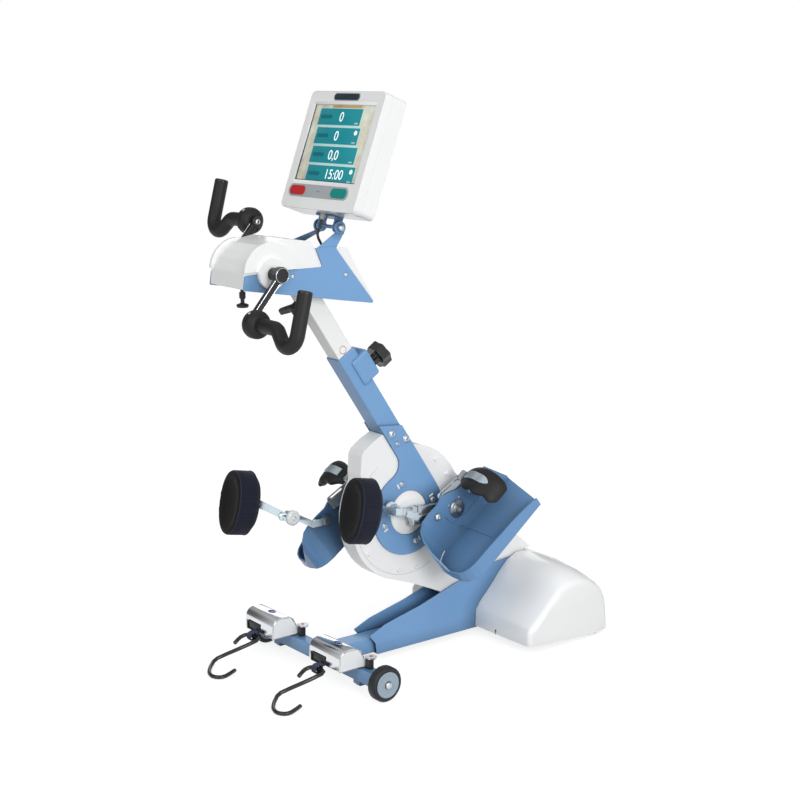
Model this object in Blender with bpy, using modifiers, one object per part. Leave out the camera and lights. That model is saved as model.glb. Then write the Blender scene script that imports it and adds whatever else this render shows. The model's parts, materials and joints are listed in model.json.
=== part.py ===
"""Active passive trainer: motor-assisted leg and arm cranks on a rolling base.

Metres, +Z up. The user sits on the -Y side and looks along +Y; +X is their right.
Base pieces are placed from the front wheel axle: Y = 0 at the axle, Z = 0 on the floor.
Moving pieces hang on an empty that lies on their joint axis.
"""
import math

import bmesh
import bpy
from mathutils import Matrix, Vector

# Fits
GAP = 0.0003
SHEET = 0.004
MOULDING = 0.0025

# Whole machine
AXLE_Y = -0.1983039
MAST_TILT = math.radians(33.85)

# Front frame and wheels
WHEEL_RADIUS = 0.0375
WHEEL_WIDTH = 0.023
WHEEL_DISC_RADIUS = 0.0275
AXLE_RADIUS = 0.004
AXLE_COLLAR = 0.0034
AXLE_CAP_RADIUS = 0.007
TUBE_HALF_LENGTH = 0.205
TUBE_SIDE = 0.030
TUBE_WALL = 0.002
BEAM_HALF_WIDTH = 0.0225
BEAM_END_Y = 0.300
BEAM_BOTTOM = 0.0173

# Folded base channel, rear crossbar, feet and hood
CHANNEL_HALF_WIDTH = 0.030
CHANNEL_WALL = 0.0025
CHANNEL_BOTTOM = 0.0145
CROSSBAR_FRONT_Y = 0.572
CHANNEL_REAR_Y = CROSSBAR_FRONT_Y - 0.007
CROSSBAR_DEPTH = 0.060
CROSSBAR_BOTTOM = 0.012
CROSSBAR_HEIGHT = 0.030
FOOT_SIZE = (0.025, 0.025, CROSSBAR_BOTTOM - GAP)
FOOT_X = 0.190
FOOT_Y = CROSSBAR_FRONT_Y + 0.0465
HOOD_HALF_WIDTH = 0.213
HOOD_WALL = 0.003
HOOD_CROWN = 0.21
HOOD_EDGE_RADIUS = 0.012

# Mast
MAST_TOP = Vector((0.0, 0.0519, 0.6924))
MAST_HALF_WIDTH = 0.024
MAST_WALL = 0.003
MAST_LENGTH = 0.7967
UPPER_MAST_INSERT = 0.250
UPPER_MAST_REACH = 0.185
CLAMP_DROP = 0.0705
KNOB_RADIUS = 0.0285
KNOB_THICKNESS = 0.022
STUD_RADIUS = 0.004

# Leg drive
LEG_AXIS = Vector((0.0, 0.215, 0.322))
LEG_CRANK_RADIUS = 0.100
LEG_CRANK_ANGLE = math.radians(1.15)
LEG_CRANK_INNER_X = 0.046
LEG_CRANK_THICKNESS = 0.012
LEG_SHAFT_RADIUS = 0.009
RING_RADIUS = 0.0952
RING_HOLE = 0.050
CASE_HALF_WIDTH = 0.0237
CASE_RADIUS = 0.152
HUB_RISE = 0.0068
PULLEY_RADIUS = 0.040
MOTOR_PULLEY_RADIUS = 0.014
MOTOR_DISTANCE = 0.092
MOTOR_RADIUS = 0.046
BELT_THICKNESS = 0.002
BELT_WIDTH = 0.008
BELT_X = 0.010

# Foot shells, clamps and calf supports
FOOT_TILT = math.radians(38.0)
SHELL_INNER_X = 0.070
SHELL_OUTER_X = 0.188
SHELL_WALL = 0.0035
SPINDLE_RADIUS = 0.007
PEDAL_WASHER_RADIUS = 0.020
CALF_PIVOT = (-0.050, 0.027)
CALF_PIN_RADIUS = 0.004
CALF_BAR_X = 0.0605
CALF_BAR_THICKNESS = 0.004
NEAR_PAD_REACH = 0.262
FAR_PAD_REACH = 0.217

# Strap reels
REEL_WIDTH = 0.108
NEAR_REEL_X = TUBE_HALF_LENGTH - 0.163
FAR_REEL_X = -(TUBE_HALF_LENGTH + 0.002)
HOOK_DRAWN_FOR_X = 0.042
REEL_WALL = 0.002
HOOK_RADIUS = 0.0045

# Arm unit
ARM_AXIS = Vector((0.0, -0.1595, 0.880))
ARM_PLATE_INNER_X = 0.0603
ARM_PLATE_SHEET = 0.003
ARM_SHAFT_RADIUS = 0.008
ARM_CRANK_RADIUS = 0.1134
ARM_CRANK_ANGLE = math.radians(50.0)
ARM_CRANK_INNER_X = 0.091
ARM_CRANK_THICKNESS = 0.014
HANDLE_HUB_RADIUS = 0.028
HANDLE_HUB_WIDTH = 0.0345
HANDLE_TUBE_RADIUS = 0.0145
PLUNGER_X = 0.015
PLUNGER_Y = -0.0355
PLUNGER_RADIUS = 0.004

# Monitor
MONITOR_HINGE = Vector((0.0, 0.028, 0.9575))
MONITOR_TILT = math.radians(-20.2)
MONITOR_HALF_WIDTH = 0.128
MONITOR_HEIGHT = 0.2526
MONITOR_DEPTH = 0.055
MONITOR_BOTTOM = 0.0216
MONITOR_FACE_Y = -0.0452
MONITOR_WALL = 0.003

BLUE = (0.125, 0.275, 0.540)
WHITE = (0.86, 0.87, 0.87)
BLACK = (0.018, 0.018, 0.020)
STEEL = (0.62, 0.64, 0.66)

# A drawing in local X and Y stands on edge as Y and Z, and its thickness runs along X.
SIDEWAYS = (math.pi / 2, 0, math.pi / 2)
# A turned piece's own axis lies along X.
ALONG_X = (0, math.pi / 2, 0)


def clear_scene():
    for item in list(bpy.data.objects):
        bpy.data.objects.remove(item, do_unlink=True)


def new_collection(name):
    collection = bpy.data.collections.new(name)
    bpy.context.scene.collection.children.link(collection)
    return collection


clear_scene()
PARTS = new_collection("active_passive_trainer")
CUTTERS = new_collection("cutters")


def paint(item, colour, roughness, metallic=0.0):
    """Gives a sub-part its own Principled material."""
    material = bpy.data.materials.new(item.name)
    material.use_nodes = True
    shader = material.node_tree.nodes["Principled BSDF"]
    shader.inputs["Base Color"].default_value = (*colour, 1.0)
    shader.inputs["Roughness"].default_value = roughness
    shader.inputs["Metallic"].default_value = metallic
    item.data.materials.clear()
    item.data.materials.append(material)
    return item


def add_object(name, data, parent=None, location=(0, 0, 0), rotation=(0, 0, 0), helper=False):
    item = bpy.data.objects.new(name, data)
    item.location = location
    item.rotation_euler = rotation
    item.parent = parent
    (CUTTERS if helper else PARTS).objects.link(item)
    if helper:
        item.hide_render = True
        item.display_type = "WIRE"
    return item


def add_empty(name, parent=None, location=(0, 0, 0), rotation=(0, 0, 0)):
    item = add_object(name, None, parent, location, rotation)
    item.empty_display_size = 0.03
    return item


def mesh_from(shape, name):
    bmesh.ops.recalc_face_normals(shape, faces=shape.faces)
    mesh = bpy.data.meshes.new(name)
    shape.to_mesh(mesh)
    shape.free()
    return mesh


def box(name, low, high, parent=None, rotation=(0, 0, 0), helper=False, location=(0, 0, 0)):
    """A box between two corners that are given from its location."""
    shape = bmesh.new()
    bmesh.ops.create_cube(shape, size=1.0)
    low = Vector(low)
    high = Vector(high)
    bmesh.ops.scale(shape, vec=high - low, verts=shape.verts)
    bmesh.ops.translate(shape, vec=(low + high) / 2, verts=shape.verts)
    return add_object(name, mesh_from(shape, name), parent, location, rotation, helper)


def cylinder(name, radius, low, high, parent=None, location=(0, 0, 0), rotation=ALONG_X,
             sides=18, helper=False):
    """A cylinder from low to high along its own axis."""
    shape = bmesh.new()
    bmesh.ops.create_cone(shape, cap_ends=True, segments=sides, radius1=radius, radius2=radius,
                          depth=high - low)
    bmesh.ops.translate(shape, vec=(0, 0, (low + high) / 2), verts=shape.verts)
    return add_object(name, mesh_from(shape, name), parent, location, rotation, helper)


def turned(name, profile, parent=None, location=(0, 0, 0), rotation=ALONG_X, steps=20,
           ring=False, helper=False):
    """A turned piece: (radius, height) points that run down its outer side."""
    mesh = bpy.data.meshes.new(name)
    edges = [(index, index + 1) for index in range(len(profile) - 1)]
    if ring:
        edges.append((len(profile) - 1, 0))
    mesh.from_pydata([(radius, 0, height) for radius, height in profile], edges, [])
    item = add_object(name, mesh, parent, location, rotation, helper)
    screw = item.modifiers.new("Turn", "SCREW")
    screw.steps = steps
    screw.render_steps = steps
    screw.use_merge_vertices = True
    screw.merge_threshold = 0.00001
    return item


def mesh_of_curve(item):
    """Turns a curve object into a closed mesh object with the same name and place."""
    bpy.context.view_layer.update()
    evaluated = item.evaluated_get(bpy.context.evaluated_depsgraph_get())
    mesh = bpy.data.meshes.new_from_object(evaluated)
    shape = bmesh.new()
    shape.from_mesh(mesh)
    bmesh.ops.remove_doubles(shape, verts=shape.verts, dist=0.000001)
    bpy.data.meshes.remove(mesh)
    name = item.name
    parent = item.parent
    location = item.location.copy()
    rotation = item.rotation_euler.copy()
    helper = item.hide_render
    bpy.data.objects.remove(item, do_unlink=True)
    return add_object(name, mesh_from(shape, name), parent, location, rotation, helper)


def flat(name, loops, thickness, parent=None, location=(0, 0, 0), rotation=SIDEWAYS, helper=False):
    """A flat piece: closed loops in its own X and Y, the later ones holes, centred in Z."""
    curve = bpy.data.curves.new(name, "CURVE")
    curve.dimensions = "2D"
    curve.fill_mode = "BOTH"
    curve.extrude = thickness / 2
    for loop in loops:
        spline = curve.splines.new("POLY")
        spline.points.add(len(loop) - 1)
        for point, place in zip(spline.points, loop):
            point.co = (place[0], place[1], 0, 1)
        spline.use_cyclic_u = True
    return mesh_of_curve(add_object(name, curve, parent, location, rotation, helper))


def across(low_x, high_x, base=(0, 0, 0)):
    """The place of a flat piece that fills low_x to high_x."""
    return Vector(base) + Vector(((low_x + high_x) / 2, 0, 0))


def tube(name, points, radius, parent=None, location=(0, 0, 0), resolution=2, helper=False):
    """A round bar or tube along a line of points, with filled ends."""
    curve = bpy.data.curves.new(name, "CURVE")
    curve.dimensions = "3D"
    curve.bevel_depth = radius
    curve.bevel_resolution = resolution
    curve.use_fill_caps = True
    spline = curve.splines.new("POLY")
    spline.points.add(len(points) - 1)
    for point, place in zip(spline.points, points):
        point.co = (*place, 1)
    return mesh_of_curve(add_object(name, curve, parent, location, (0, 0, 0), helper))


def wedge(name, first, second, parent, helper=True):
    """A straight block between two four-cornered ends."""
    shape = bmesh.new()
    ends = [[shape.verts.new(place) for place in end] for end in (first, second)]
    for end in ends:
        shape.faces.new(end)
    for index in range(4):
        following = (index + 1) % 4
        shape.faces.new((ends[0][index], ends[0][following], ends[1][following], ends[1][index]))
    return add_object(name, mesh_from(shape, name), parent, helper=helper)


def corner_arc(before, here, after, radius, steps):
    """The points of an arc that rounds one corner of a line."""
    towards = (before - here).normalized()
    onwards = (after - here).normalized()
    half = towards.angle(onwards) / 2
    reach = radius / math.tan(half)
    centre = here + (towards + onwards).normalized() * (radius / math.sin(half))
    first = here + towards * reach - centre
    last = here + onwards * reach - centre
    sweep = first.angle(last)
    sideways = (last - first * math.cos(sweep)) / math.sin(sweep)
    turns = [sweep * step / steps for step in range(steps + 1)]
    return [centre + first * math.cos(turn) + sideways * math.sin(turn) for turn in turns]


def rounded(corners, steps=4):
    """A closed drawing from (x, y, corner radius) points."""
    points = []
    for index, corner in enumerate(corners):
        here = Vector(corner[:2])
        if corner[2] == 0:
            points.append(here)
            continue
        before = Vector(corners[index - 1][:2])
        after = Vector(corners[(index + 1) % len(corners)][:2])
        points.extend(corner_arc(before, here, after, corner[2], steps))
    return points


def bent(points, radius, steps=5):
    """A line in space whose inner corners are rounded."""
    places = [Vector(point) for point in points]
    line = [places[0]]
    for before, here, after in zip(places, places[1:], places[2:]):
        line.extend(corner_arc(before, here, after, radius, steps))
    line.append(places[-1])
    return line


def arc(centre, radius, start, end, steps):
    """Points on a circle from one angle to another, in degrees."""
    angles = [math.radians(start + (end - start) * step / steps) for step in range(steps + 1)]
    return [Vector((centre[0] + radius * math.cos(a), centre[1] + radius * math.sin(a)))
            for a in angles]


def circle(radius, centre=(0, 0), sides=28):
    return arc(centre, radius, 0, 360, sides)[:-1]


def hull_of_circles(first, second, distance, steps=6):
    """The loop round a circle at the origin and another at distance along the first axis."""
    lean = math.degrees(math.acos((first - second) / distance))
    return arc((0, 0), first, lean, 360 - lean, 2 * steps) + arc((distance, 0), second, -lean, lean, steps)


def inset(corners, distance):
    """The (x, y, corner radius) points of a closed drawing, moved inwards by a wall thickness."""
    loop = [Vector(corner[:2]) for corner in corners]
    area = sum(a.x * b.y - b.x * a.y for a, b in zip(loop, loop[1:] + loop[:1]))
    turn = 1 if area > 0 else -1
    moved = []
    for index, (here, corner) in enumerate(zip(loop, corners)):
        into = (here - loop[index - 1]).normalized()
        out = (loop[(index + 1) % len(loop)] - here).normalized()
        normal = Vector((-into.y, into.x)) * turn
        inward = (normal + Vector((-out.y, out.x)) * turn).normalized()
        place = here + inward * (distance / max(0.35, inward.dot(normal)))
        convex = (into.x * out.y - into.y * out.x) * turn > 0
        radius = corner[2] if len(corner) > 2 else 0
        if radius:
            radius = max(0, radius - distance if convex else radius + distance)
        moved.append((*place, radius))
    return moved


def bevel(item, width, segments=2, angle=35):
    modifier = item.modifiers.new("Rounded edges", "BEVEL")
    modifier.width = width
    modifier.segments = segments
    modifier.limit_method = "ANGLE"
    modifier.angle_limit = math.radians(angle)
    modifier.miter_outer = "MITER_ARC"
    return item


def boolean(item, operation, others):
    for other in others:
        modifier = item.modifiers.new(other.name, "BOOLEAN")
        modifier.operation = operation
        modifier.solver = "EXACT"
        modifier.object = other
    return item


def cut(item, *others):
    return boolean(item, "DIFFERENCE", others)


def unite(item, *others):
    return boolean(item, "UNION", others)


def solidify(item, thickness, offset=-1):
    modifier = item.modifiers.new("Wall", "SOLIDIFY")
    modifier.thickness = thickness
    modifier.offset = offset
    modifier.use_even_offset = True
    return item


def smooth(item, angle=32):
    item.data.shade_smooth()
    item.data.set_sharp_from_angle(angle=math.radians(angle))
    return item


def side_name(side):
    return "near" if side > 0 else "far"


def span(side, low, high):
    """Low and high X of a piece on one side of the machine."""
    return (low, high) if side > 0 else (-high, -low)


ROOT = add_empty("machine", None, (0, AXLE_Y, 0))
MAST = add_empty("mast_line", ROOT, MAST_TOP, (MAST_TILT, 0, 0))
UPPER = add_empty("height_slide_axis", MAST)
RING = add_empty("ring_line", ROOT, LEG_AXIS, (MAST_TILT, 0, 0))
DRIVE = add_empty("leg_axis_line", ROOT, LEG_AXIS)
LEG_CRANK = add_empty("leg_crank_axis", ROOT, LEG_AXIS, (LEG_CRANK_ANGLE, 0, 0))
ARM = add_empty("arm_unit_line", ROOT, ARM_AXIS)
ARM_CRANK = add_empty("arm_crank_axis", ROOT, ARM_AXIS, (ARM_CRANK_ANGLE, 0, 0))
MONITOR = add_empty("monitor_hinge_axis", ROOT, MONITOR_HINGE, (MONITOR_TILT, 0, 0))


# Front frame

def front_frame():
    """Cross tube with plugged ends, and the beam welded to its middle."""
    half = TUBE_SIDE / 2
    middle = WHEEL_RADIUS
    tube_piece = bevel(box("front_frame", (-TUBE_HALF_LENGTH, -half, middle - half),
                           (TUBE_HALF_LENGTH, half, middle + half), ROOT), 0.0025)
    beam = bevel(box("beam_body", (-BEAM_HALF_WIDTH, half - 0.006, BEAM_BOTTOM),
                     (BEAM_HALF_WIDTH, BEAM_END_Y, middle + half), ROOT, helper=True), 0.0025)
    unite(tube_piece, beam)
    inner = half - TUBE_WALL
    plug = 0.010
    hollow = box("tube_hollow", (-TUBE_HALF_LENGTH + plug, -inner, middle - inner),
                 (TUBE_HALF_LENGTH - plug, inner, middle + inner), ROOT, helper=True)
    beam_hollow = box("beam_hollow", (-BEAM_HALF_WIDTH + TUBE_WALL, half, BEAM_BOTTOM + TUBE_WALL),
                      (BEAM_HALF_WIDTH - TUBE_WALL, BEAM_END_Y + 0.01, middle + inner), ROOT, helper=True)
    bore = cylinder("axle_bore", AXLE_RADIUS + GAP, -TUBE_HALF_LENGTH - 0.01, TUBE_HALF_LENGTH + 0.01,
                    ROOT, (0, 0, middle), sides=16, helper=True)
    cut(tube_piece, hollow, beam_hollow, bore)
    paint(tube_piece, BLUE, 0.35)


def wheels():
    """Two wheels and the through axle with its collars and end caps."""
    inner_x = TUBE_HALF_LENGTH + GAP + AXLE_COLLAR + GAP
    outer_x = inner_x + WHEEL_WIDTH
    end_x = outer_x + GAP + 0.0035
    half = [(0, end_x), (AXLE_CAP_RADIUS - 0.0015, end_x), (AXLE_CAP_RADIUS, end_x - 0.0015),
            (AXLE_CAP_RADIUS, outer_x + GAP), (AXLE_RADIUS, outer_x + GAP), (AXLE_RADIUS, inner_x - GAP),
            (AXLE_CAP_RADIUS, inner_x - GAP), (AXLE_CAP_RADIUS, TUBE_HALF_LENGTH + GAP),
            (AXLE_RADIUS, TUBE_HALF_LENGTH + GAP)]
    mirrored = [(radius, -height) for radius, height in reversed(half)]
    axle = turned("wheel_axle", half + mirrored, ROOT, (0, 0, WHEEL_RADIUS), steps=12)
    paint(axle, STEEL, 0.3, 0.9)
    shoulder = 0.004
    dish = 0.0018
    rim = WHEEL_DISC_RADIUS
    for side in (1, -1):
        axis = add_empty(side_name(side) + "_wheel_axis", ROOT, (side * inner_x, 0, WHEEL_RADIUS))
        bore = AXLE_RADIUS + GAP
        width = WHEEL_WIDTH
        profile = [(bore, width), (0.011, width), (0.012, width - dish), (rim, width - dish),
                   (rim + 0.001, width), (WHEEL_RADIUS - shoulder, width),
                   (WHEEL_RADIUS, width - shoulder), (WHEEL_RADIUS, shoulder),
                   (WHEEL_RADIUS - shoulder, 0), (bore, 0)]
        if side < 0:
            profile = [(radius, -height) for radius, height in reversed(profile)]
        wheel = turned(side_name(side) + "_wheel", profile, axis, ring=True, steps=26)
        paint(wheel, BLACK, 0.6)


def base_channel():
    """Folded channel that takes the beam and the mast, welded to the rear crossbar."""
    low = CHANNEL_BOTTOM
    side_shape = rounded([(0.125, low, 0.003), (0.121, 0.041, 0.012), (0.105, 0.060, 0.002),
                          (0.149, 0.078, 0), (0.246, 0.101, 0), (0.349, 0.133, 0),
                          (CROSSBAR_FRONT_Y - 0.103, 0.160, 0.02), (CHANNEL_REAR_Y, 0.1697, 0.003),
                          (CHANNEL_REAR_Y, 0.045, 0),
                          (CROSSBAR_FRONT_Y + 0.008, 0.040, 0), (CROSSBAR_FRONT_Y + 0.008, low, 0)])
    channel = flat("base_channel", [side_shape], 2 * CHANNEL_HALF_WIDTH, ROOT)
    inner = CHANNEL_HALF_WIDTH - CHANNEL_WALL
    trough = box("channel_trough", (-inner, 0.08, low + CHANNEL_WALL),
                 (inner, CROSSBAR_FRONT_Y + 0.02, 0.25), ROOT, helper=True)
    cut(channel, trough)
    half_length = HOOD_HALF_WIDTH - HOOD_WALL - GAP
    rear_y = CROSSBAR_FRONT_Y + CROSSBAR_DEPTH
    top = CROSSBAR_BOTTOM + CROSSBAR_HEIGHT
    bar = box("crossbar_body", (-half_length, CROSSBAR_FRONT_Y, CROSSBAR_BOTTOM),
              (half_length, rear_y, top), ROOT, helper=True)
    wall = CHANNEL_WALL
    hollow = box("crossbar_hollow", (-half_length - 0.01, CROSSBAR_FRONT_Y + wall, CROSSBAR_BOTTOM + wall),
                 (half_length + 0.01, rear_y - wall, top - wall), ROOT, helper=True)
    unite(channel, bar)
    cut(channel, hollow)
    paint(channel, BLUE, 0.35)


def rear_feet():
    for side in (1, -1):
        low = (side * FOOT_X - FOOT_SIZE[0] / 2, FOOT_Y - FOOT_SIZE[1] / 2, 0)
        high = (side * FOOT_X + FOOT_SIZE[0] / 2, FOOT_Y + FOOT_SIZE[1] / 2, FOOT_SIZE[2])
        foot = bevel(box(side_name(side) + "_rear_foot", low, high, ROOT), 0.0015)
        paint(foot, BLACK, 0.8)


def rear_cover():
    """White hood over the rear crossbar: an open-bottomed surface with a solid wall."""
    profile = [(-0.162, 0.018), (-0.161, 0.048), (-0.149, 0.062), (-0.133, 0.075), (-0.111, 0.094),
               (-0.089, 0.115), (-0.067, 0.132), (-0.040, 0.1425), (-0.008, 0.143), (0.025, 0.134),
               (0.052, 0.119), (0.068, 0.104), (0.077, 0.082), (0.082, 0.050), (0.085, 0.011)]
    profile = [(CROSSBAR_FRONT_Y + y, z) for y, z in profile]
    dip = (CROSSBAR_FRONT_Y + 0.034, 0.006)
    stations = [-1, -0.78, -0.45, 0, 0.45, 0.78, 1]
    shape = bmesh.new()
    rows = []
    for station in stations:
        crown = 1 + HOOD_CROWN * (1 - abs(station) ** 4)
        rows.append([shape.verts.new((station * HOOD_HALF_WIDTH, y, z * crown if z > 0.02 else z))
                     for y, z in profile])
    for row, following in zip(rows, rows[1:]):
        for index in range(len(profile) - 1):
            shape.faces.new((row[index], row[index + 1], following[index + 1], following[index]))
    for row, x in ((rows[0], -HOOD_HALF_WIDTH), (rows[-1], HOOD_HALF_WIDTH)):
        shape.faces.new(row + [shape.verts.new((x, *dip))])
    hood = add_object("rear_cover", mesh_from(shape, "rear_cover"), ROOT)
    bevel(hood, HOOD_EDGE_RADIUS, 2, 60)
    solidify(hood, HOOD_WALL)
    gate = CHANNEL_HALF_WIDTH + 0.0006
    opening = box("hood_opening", (-gate, CROSSBAR_FRONT_Y - 0.192, -0.02),
                  (gate, CHANNEL_REAR_Y + 0.0006, 0.30), ROOT,
                  helper=True)
    cut(hood, opening)
    paint(hood, WHITE, 0.3)


# Mast

def lower_mast():
    """Square outer tube with the clamp bracket welded to its rear face."""
    half = MAST_HALF_WIDTH
    mast = bevel(box("lower_mast", (-half, -half, -MAST_LENGTH), (half, half, 0), MAST), 0.003)
    bracket_half = half + SHEET
    bracket = bevel(box("clamp_bracket", (-bracket_half, -0.003, -CLAMP_DROP - 0.018),
                        (bracket_half, half + 0.022, -CLAMP_DROP + 0.048), MAST, helper=True), 0.006, 2)
    unite(mast, bracket)
    inner = half - MAST_WALL
    hollow = box("mast_hollow", (-inner, -inner, -MAST_LENGTH - 0.01), (inner, inner, 0.01), MAST, helper=True)
    thread = cylinder("clamp_thread", STUD_RADIUS + GAP, 0, half + 0.05, MAST, (0, 0, -CLAMP_DROP),
                      (-math.pi / 2, 0, 0), 16, helper=True)
    cut(mast, hollow, thread)
    paint(mast, BLUE, 0.35)


def mast_knob():
    """Lobed clamp knob on its stud: the stud reaches through to the inner mast."""
    axis = add_empty("mast_knob_axis", MAST, (0, 0, -CLAMP_DROP), (-math.pi / 2, 0, 0))
    seat = MAST_HALF_WIDTH + 0.022 + GAP
    lobes = 7
    outline = []
    for step in range(4 * lobes):
        angle = 2 * math.pi * step / (4 * lobes)
        radius = KNOB_RADIUS - 0.002 + 0.002 * math.cos(lobes * angle)
        outline.append((radius * math.cos(angle), radius * math.sin(angle)))
    grip_low = seat + 0.020
    knob = bevel(flat("mast_knob", [outline], KNOB_THICKNESS, axis, (0, 0, grip_low + KNOB_THICKNESS / 2),
                      (0, 0, 0)), 0.003, 1)
    neck = cylinder("knob_neck", 0.012, seat, grip_low + 0.002, axis, rotation=(0, 0, 0), helper=True)
    stud = cylinder("knob_stud", STUD_RADIUS, MAST_HALF_WIDTH - MAST_WALL + GAP, seat + 0.002, axis,
                    rotation=(0, 0, 0), sides=16, helper=True)
    unite(knob, neck, stud)
    paint(knob, BLACK, 0.5)


def upper_mast():
    """White inner tube that slides in the lower one and carries the arm unit."""
    half = MAST_HALF_WIDTH - MAST_WALL - GAP
    mast = bevel(box("upper_mast", (-half, -half, -UPPER_MAST_INSERT), (half, half, UPPER_MAST_REACH), UPPER),
                 0.0025)
    inner = half - MOULDING
    hollow = box("upper_mast_hollow", (-inner, -inner, -UPPER_MAST_INSERT - 0.01),
                 (inner, inner, UPPER_MAST_REACH + 0.01), UPPER, helper=True)
    cut(mast, hollow)
    paint(mast, WHITE, 0.35)


# Leg drive

def mast_front():
    """Distance from the leg axis to the mast's front face."""
    return mast_line() - MAST_HALF_WIDTH


def mast_line():
    """Distance from the leg axis to the mast's centre line."""
    tilt = Matrix.Rotation(MAST_TILT, 3, "X")
    return (tilt.inverted() @ (MAST_TOP - LEG_AXIS)).y


def mast_rear():
    return mast_line() + MAST_HALF_WIDTH


def side_plates():
    """A ring round the crank axis that runs up the mast as a strip, one on each side."""
    front = mast_front()
    rear = RING_RADIUS
    fillet = 0.033
    height = math.sqrt((RING_RADIUS + fillet) ** 2 - (front - fillet) ** 2)
    meet = math.degrees(math.atan2(height, front - fillet))
    strip = [Vector((front, 0.215)), Vector((rear, 0.176))]
    ring = arc((0, 0), RING_RADIUS, 0, meet - 360, 32)
    hollow = arc((front - fillet, height), fillet, meet + 180, 360, 6)
    outline = strip + ring + hollow[1:]
    low = MAST_HALF_WIDTH + GAP
    ring_angles = [math.radians(16 + 90 * quarter) for quarter in range(4)]
    bolts = [(0.1686, 0.5055, 0.0075), (0.2075, 0.4897, 0.0075), (0.1824, 0.482, 0.0045)]
    bolts += [(LEG_AXIS.y + 0.0695 * math.cos(a), LEG_AXIS.z + 0.0695 * math.sin(a), 0.0055)
              for a in ring_angles]
    for side in (1, -1):
        plate = flat(side_name(side) + "_side_plate", [outline, circle(RING_HOLE)], SHEET, RING,
                     across(*span(side, low, low + SHEET)))
        unite(plate, *[screw_head(side, low + SHEET, place) for place in bolts])
        paint(plate, BLUE, 0.35)


def screw_head(side, face, place):
    """A cap screw's head on a face at the given X, at (y, z, radius)."""
    y, z, radius = place
    profile = [(0, face + 0.004), (radius * 0.8, face + 0.004), (radius, face + 0.002),
               (radius, face - 0.0006), (0, face - 0.0006)]
    if side < 0:
        profile = [(r, -h) for r, h in reversed(profile)]
    return turned(side_name(side) + "_screw", profile, ROOT, (0, y, z), steps=8, helper=True)


def front_case_outline():
    """Side drawing of the case in front of the mast, from the leg axis."""
    front = mast_front() - GAP
    tilt = Matrix.Rotation(MAST_TILT, 2)
    start = Vector((0.148, 0.506)) - Vector(LEG_AXIS.yz)
    line_top = tilt @ Vector((front, (tilt.inverted() @ start).y))
    line_low = tilt @ Vector((front, -0.315))
    corner = Vector((0.087, 0.425)) - Vector(LEG_AXIS.yz)
    disc = arc((0, 0), CASE_RADIUS, 146, 254.6, 15)
    upper = [Vector((0.121, 0.493)) - Vector(LEG_AXIS.yz), Vector((0.096, 0.476)) - Vector(LEG_AXIS.yz),
             Vector((0.090, 0.466)) - Vector(LEG_AXIS.yz), corner]
    lower = [Vector((0.225, 0.1575)) - Vector(LEG_AXIS.yz), Vector((0.305, 0.122)) - Vector(LEG_AXIS.yz)]
    lower.append(Vector((0.385, 0.070)) - Vector(LEG_AXIS.yz))
    return [line_top] + upper + disc + lower + [line_low]


def rear_case_outline():
    """Side drawing of the case behind the mast, from the leg axis."""
    rear = mast_rear() + GAP
    tilt = Matrix.Rotation(MAST_TILT, 2)
    start = math.degrees(math.acos(rear / CASE_RADIUS)) + math.degrees(MAST_TILT)
    disc = arc((0, 0), CASE_RADIUS, start, 27, 6)
    places = [(CHANNEL_REAR_Y - 0.040, 0.225), (CHANNEL_REAR_Y + 0.021, 0.1735),
              (CHANNEL_REAR_Y - GAP, 0.1755), (CHANNEL_REAR_Y - GAP, 0.060)]
    run = [Vector(place) - Vector(LEG_AXIS.yz) for place in places]
    foot = tilt @ Vector((rear, -0.365))
    return disc + run + [foot]


def leg_case():
    """Two moulded half shells in front of the mast, and one shell behind it."""
    front = front_case_outline()
    front_screws = [(0.108, 0.246, 0.0045), (0.189, 0.194, 0.0045), (0.239, 0.191, 0.0045)]
    low_disc = CASE_HALF_WIDTH - 0.0006
    bore_radius = LEG_SHAFT_RADIUS + GAP
    edge = RING_HOLE - 2 * GAP
    neck = mast_front() - 0.002
    for side in (1, -1):
        low, high = span(side, GAP / 2, CASE_HALF_WIDTH)
        deep = span(side, -0.002, CASE_HALF_WIDTH - MOULDING)
        name = side_name(side) + "_leg_case"
        shell = flat(name, [front], high - low, DRIVE, across(low, high))
        hollow = flat(name + "_hollow", [rounded(inset(front, MOULDING))], deep[1] - deep[0], DRIVE,
                      across(*deep), helper=True)
        cut(shell, hollow)
        profile = [(0, CASE_HALF_WIDTH + HUB_RISE), (0.034, CASE_HALF_WIDTH + HUB_RISE - 0.0008),
                   (edge, CASE_HALF_WIDTH + 0.0030), (edge, MAST_HALF_WIDTH + GAP),
                   (neck, MAST_HALF_WIDTH + GAP), (neck, low_disc), (0, low_disc)]
        if side < 0:
            profile = [(radius, -height) for radius, height in reversed(profile)]
        dome = turned(name + "_dome", profile, DRIVE, steps=26, helper=True)
        bore = cylinder(name + "_bore", bore_radius, -0.05, 0.05, DRIVE, helper=True)
        unite(shell, dome, *[screw_head(side, CASE_HALF_WIDTH, place) for place in front_screws])
        cut(shell, bore)
        paint(shell, WHITE, 0.3)

    rear = rear_case_outline()
    shell = flat("rear_leg_case", [rear], 2 * CASE_HALF_WIDTH, DRIVE)
    inner = CASE_HALF_WIDTH - MOULDING
    hollow = flat("rear_case_hollow", [rounded(inset(rear, MOULDING))], 2 * inner, DRIVE, helper=True)
    mouth = box("rear_case_mouth", (-inner, mast_rear() - 0.004, -0.34), (inner, mast_rear() + 0.006, 0.10),
                RING, helper=True)
    cut(shell, hollow, mouth)
    for side in (1, -1):
        unite(shell, *[screw_head(side, CASE_HALF_WIDTH, place)
                       for place in ((0.292, 0.430, 0.0045), (0.326, 0.393, 0.0045))])
    paint(shell, WHITE, 0.3)


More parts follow.
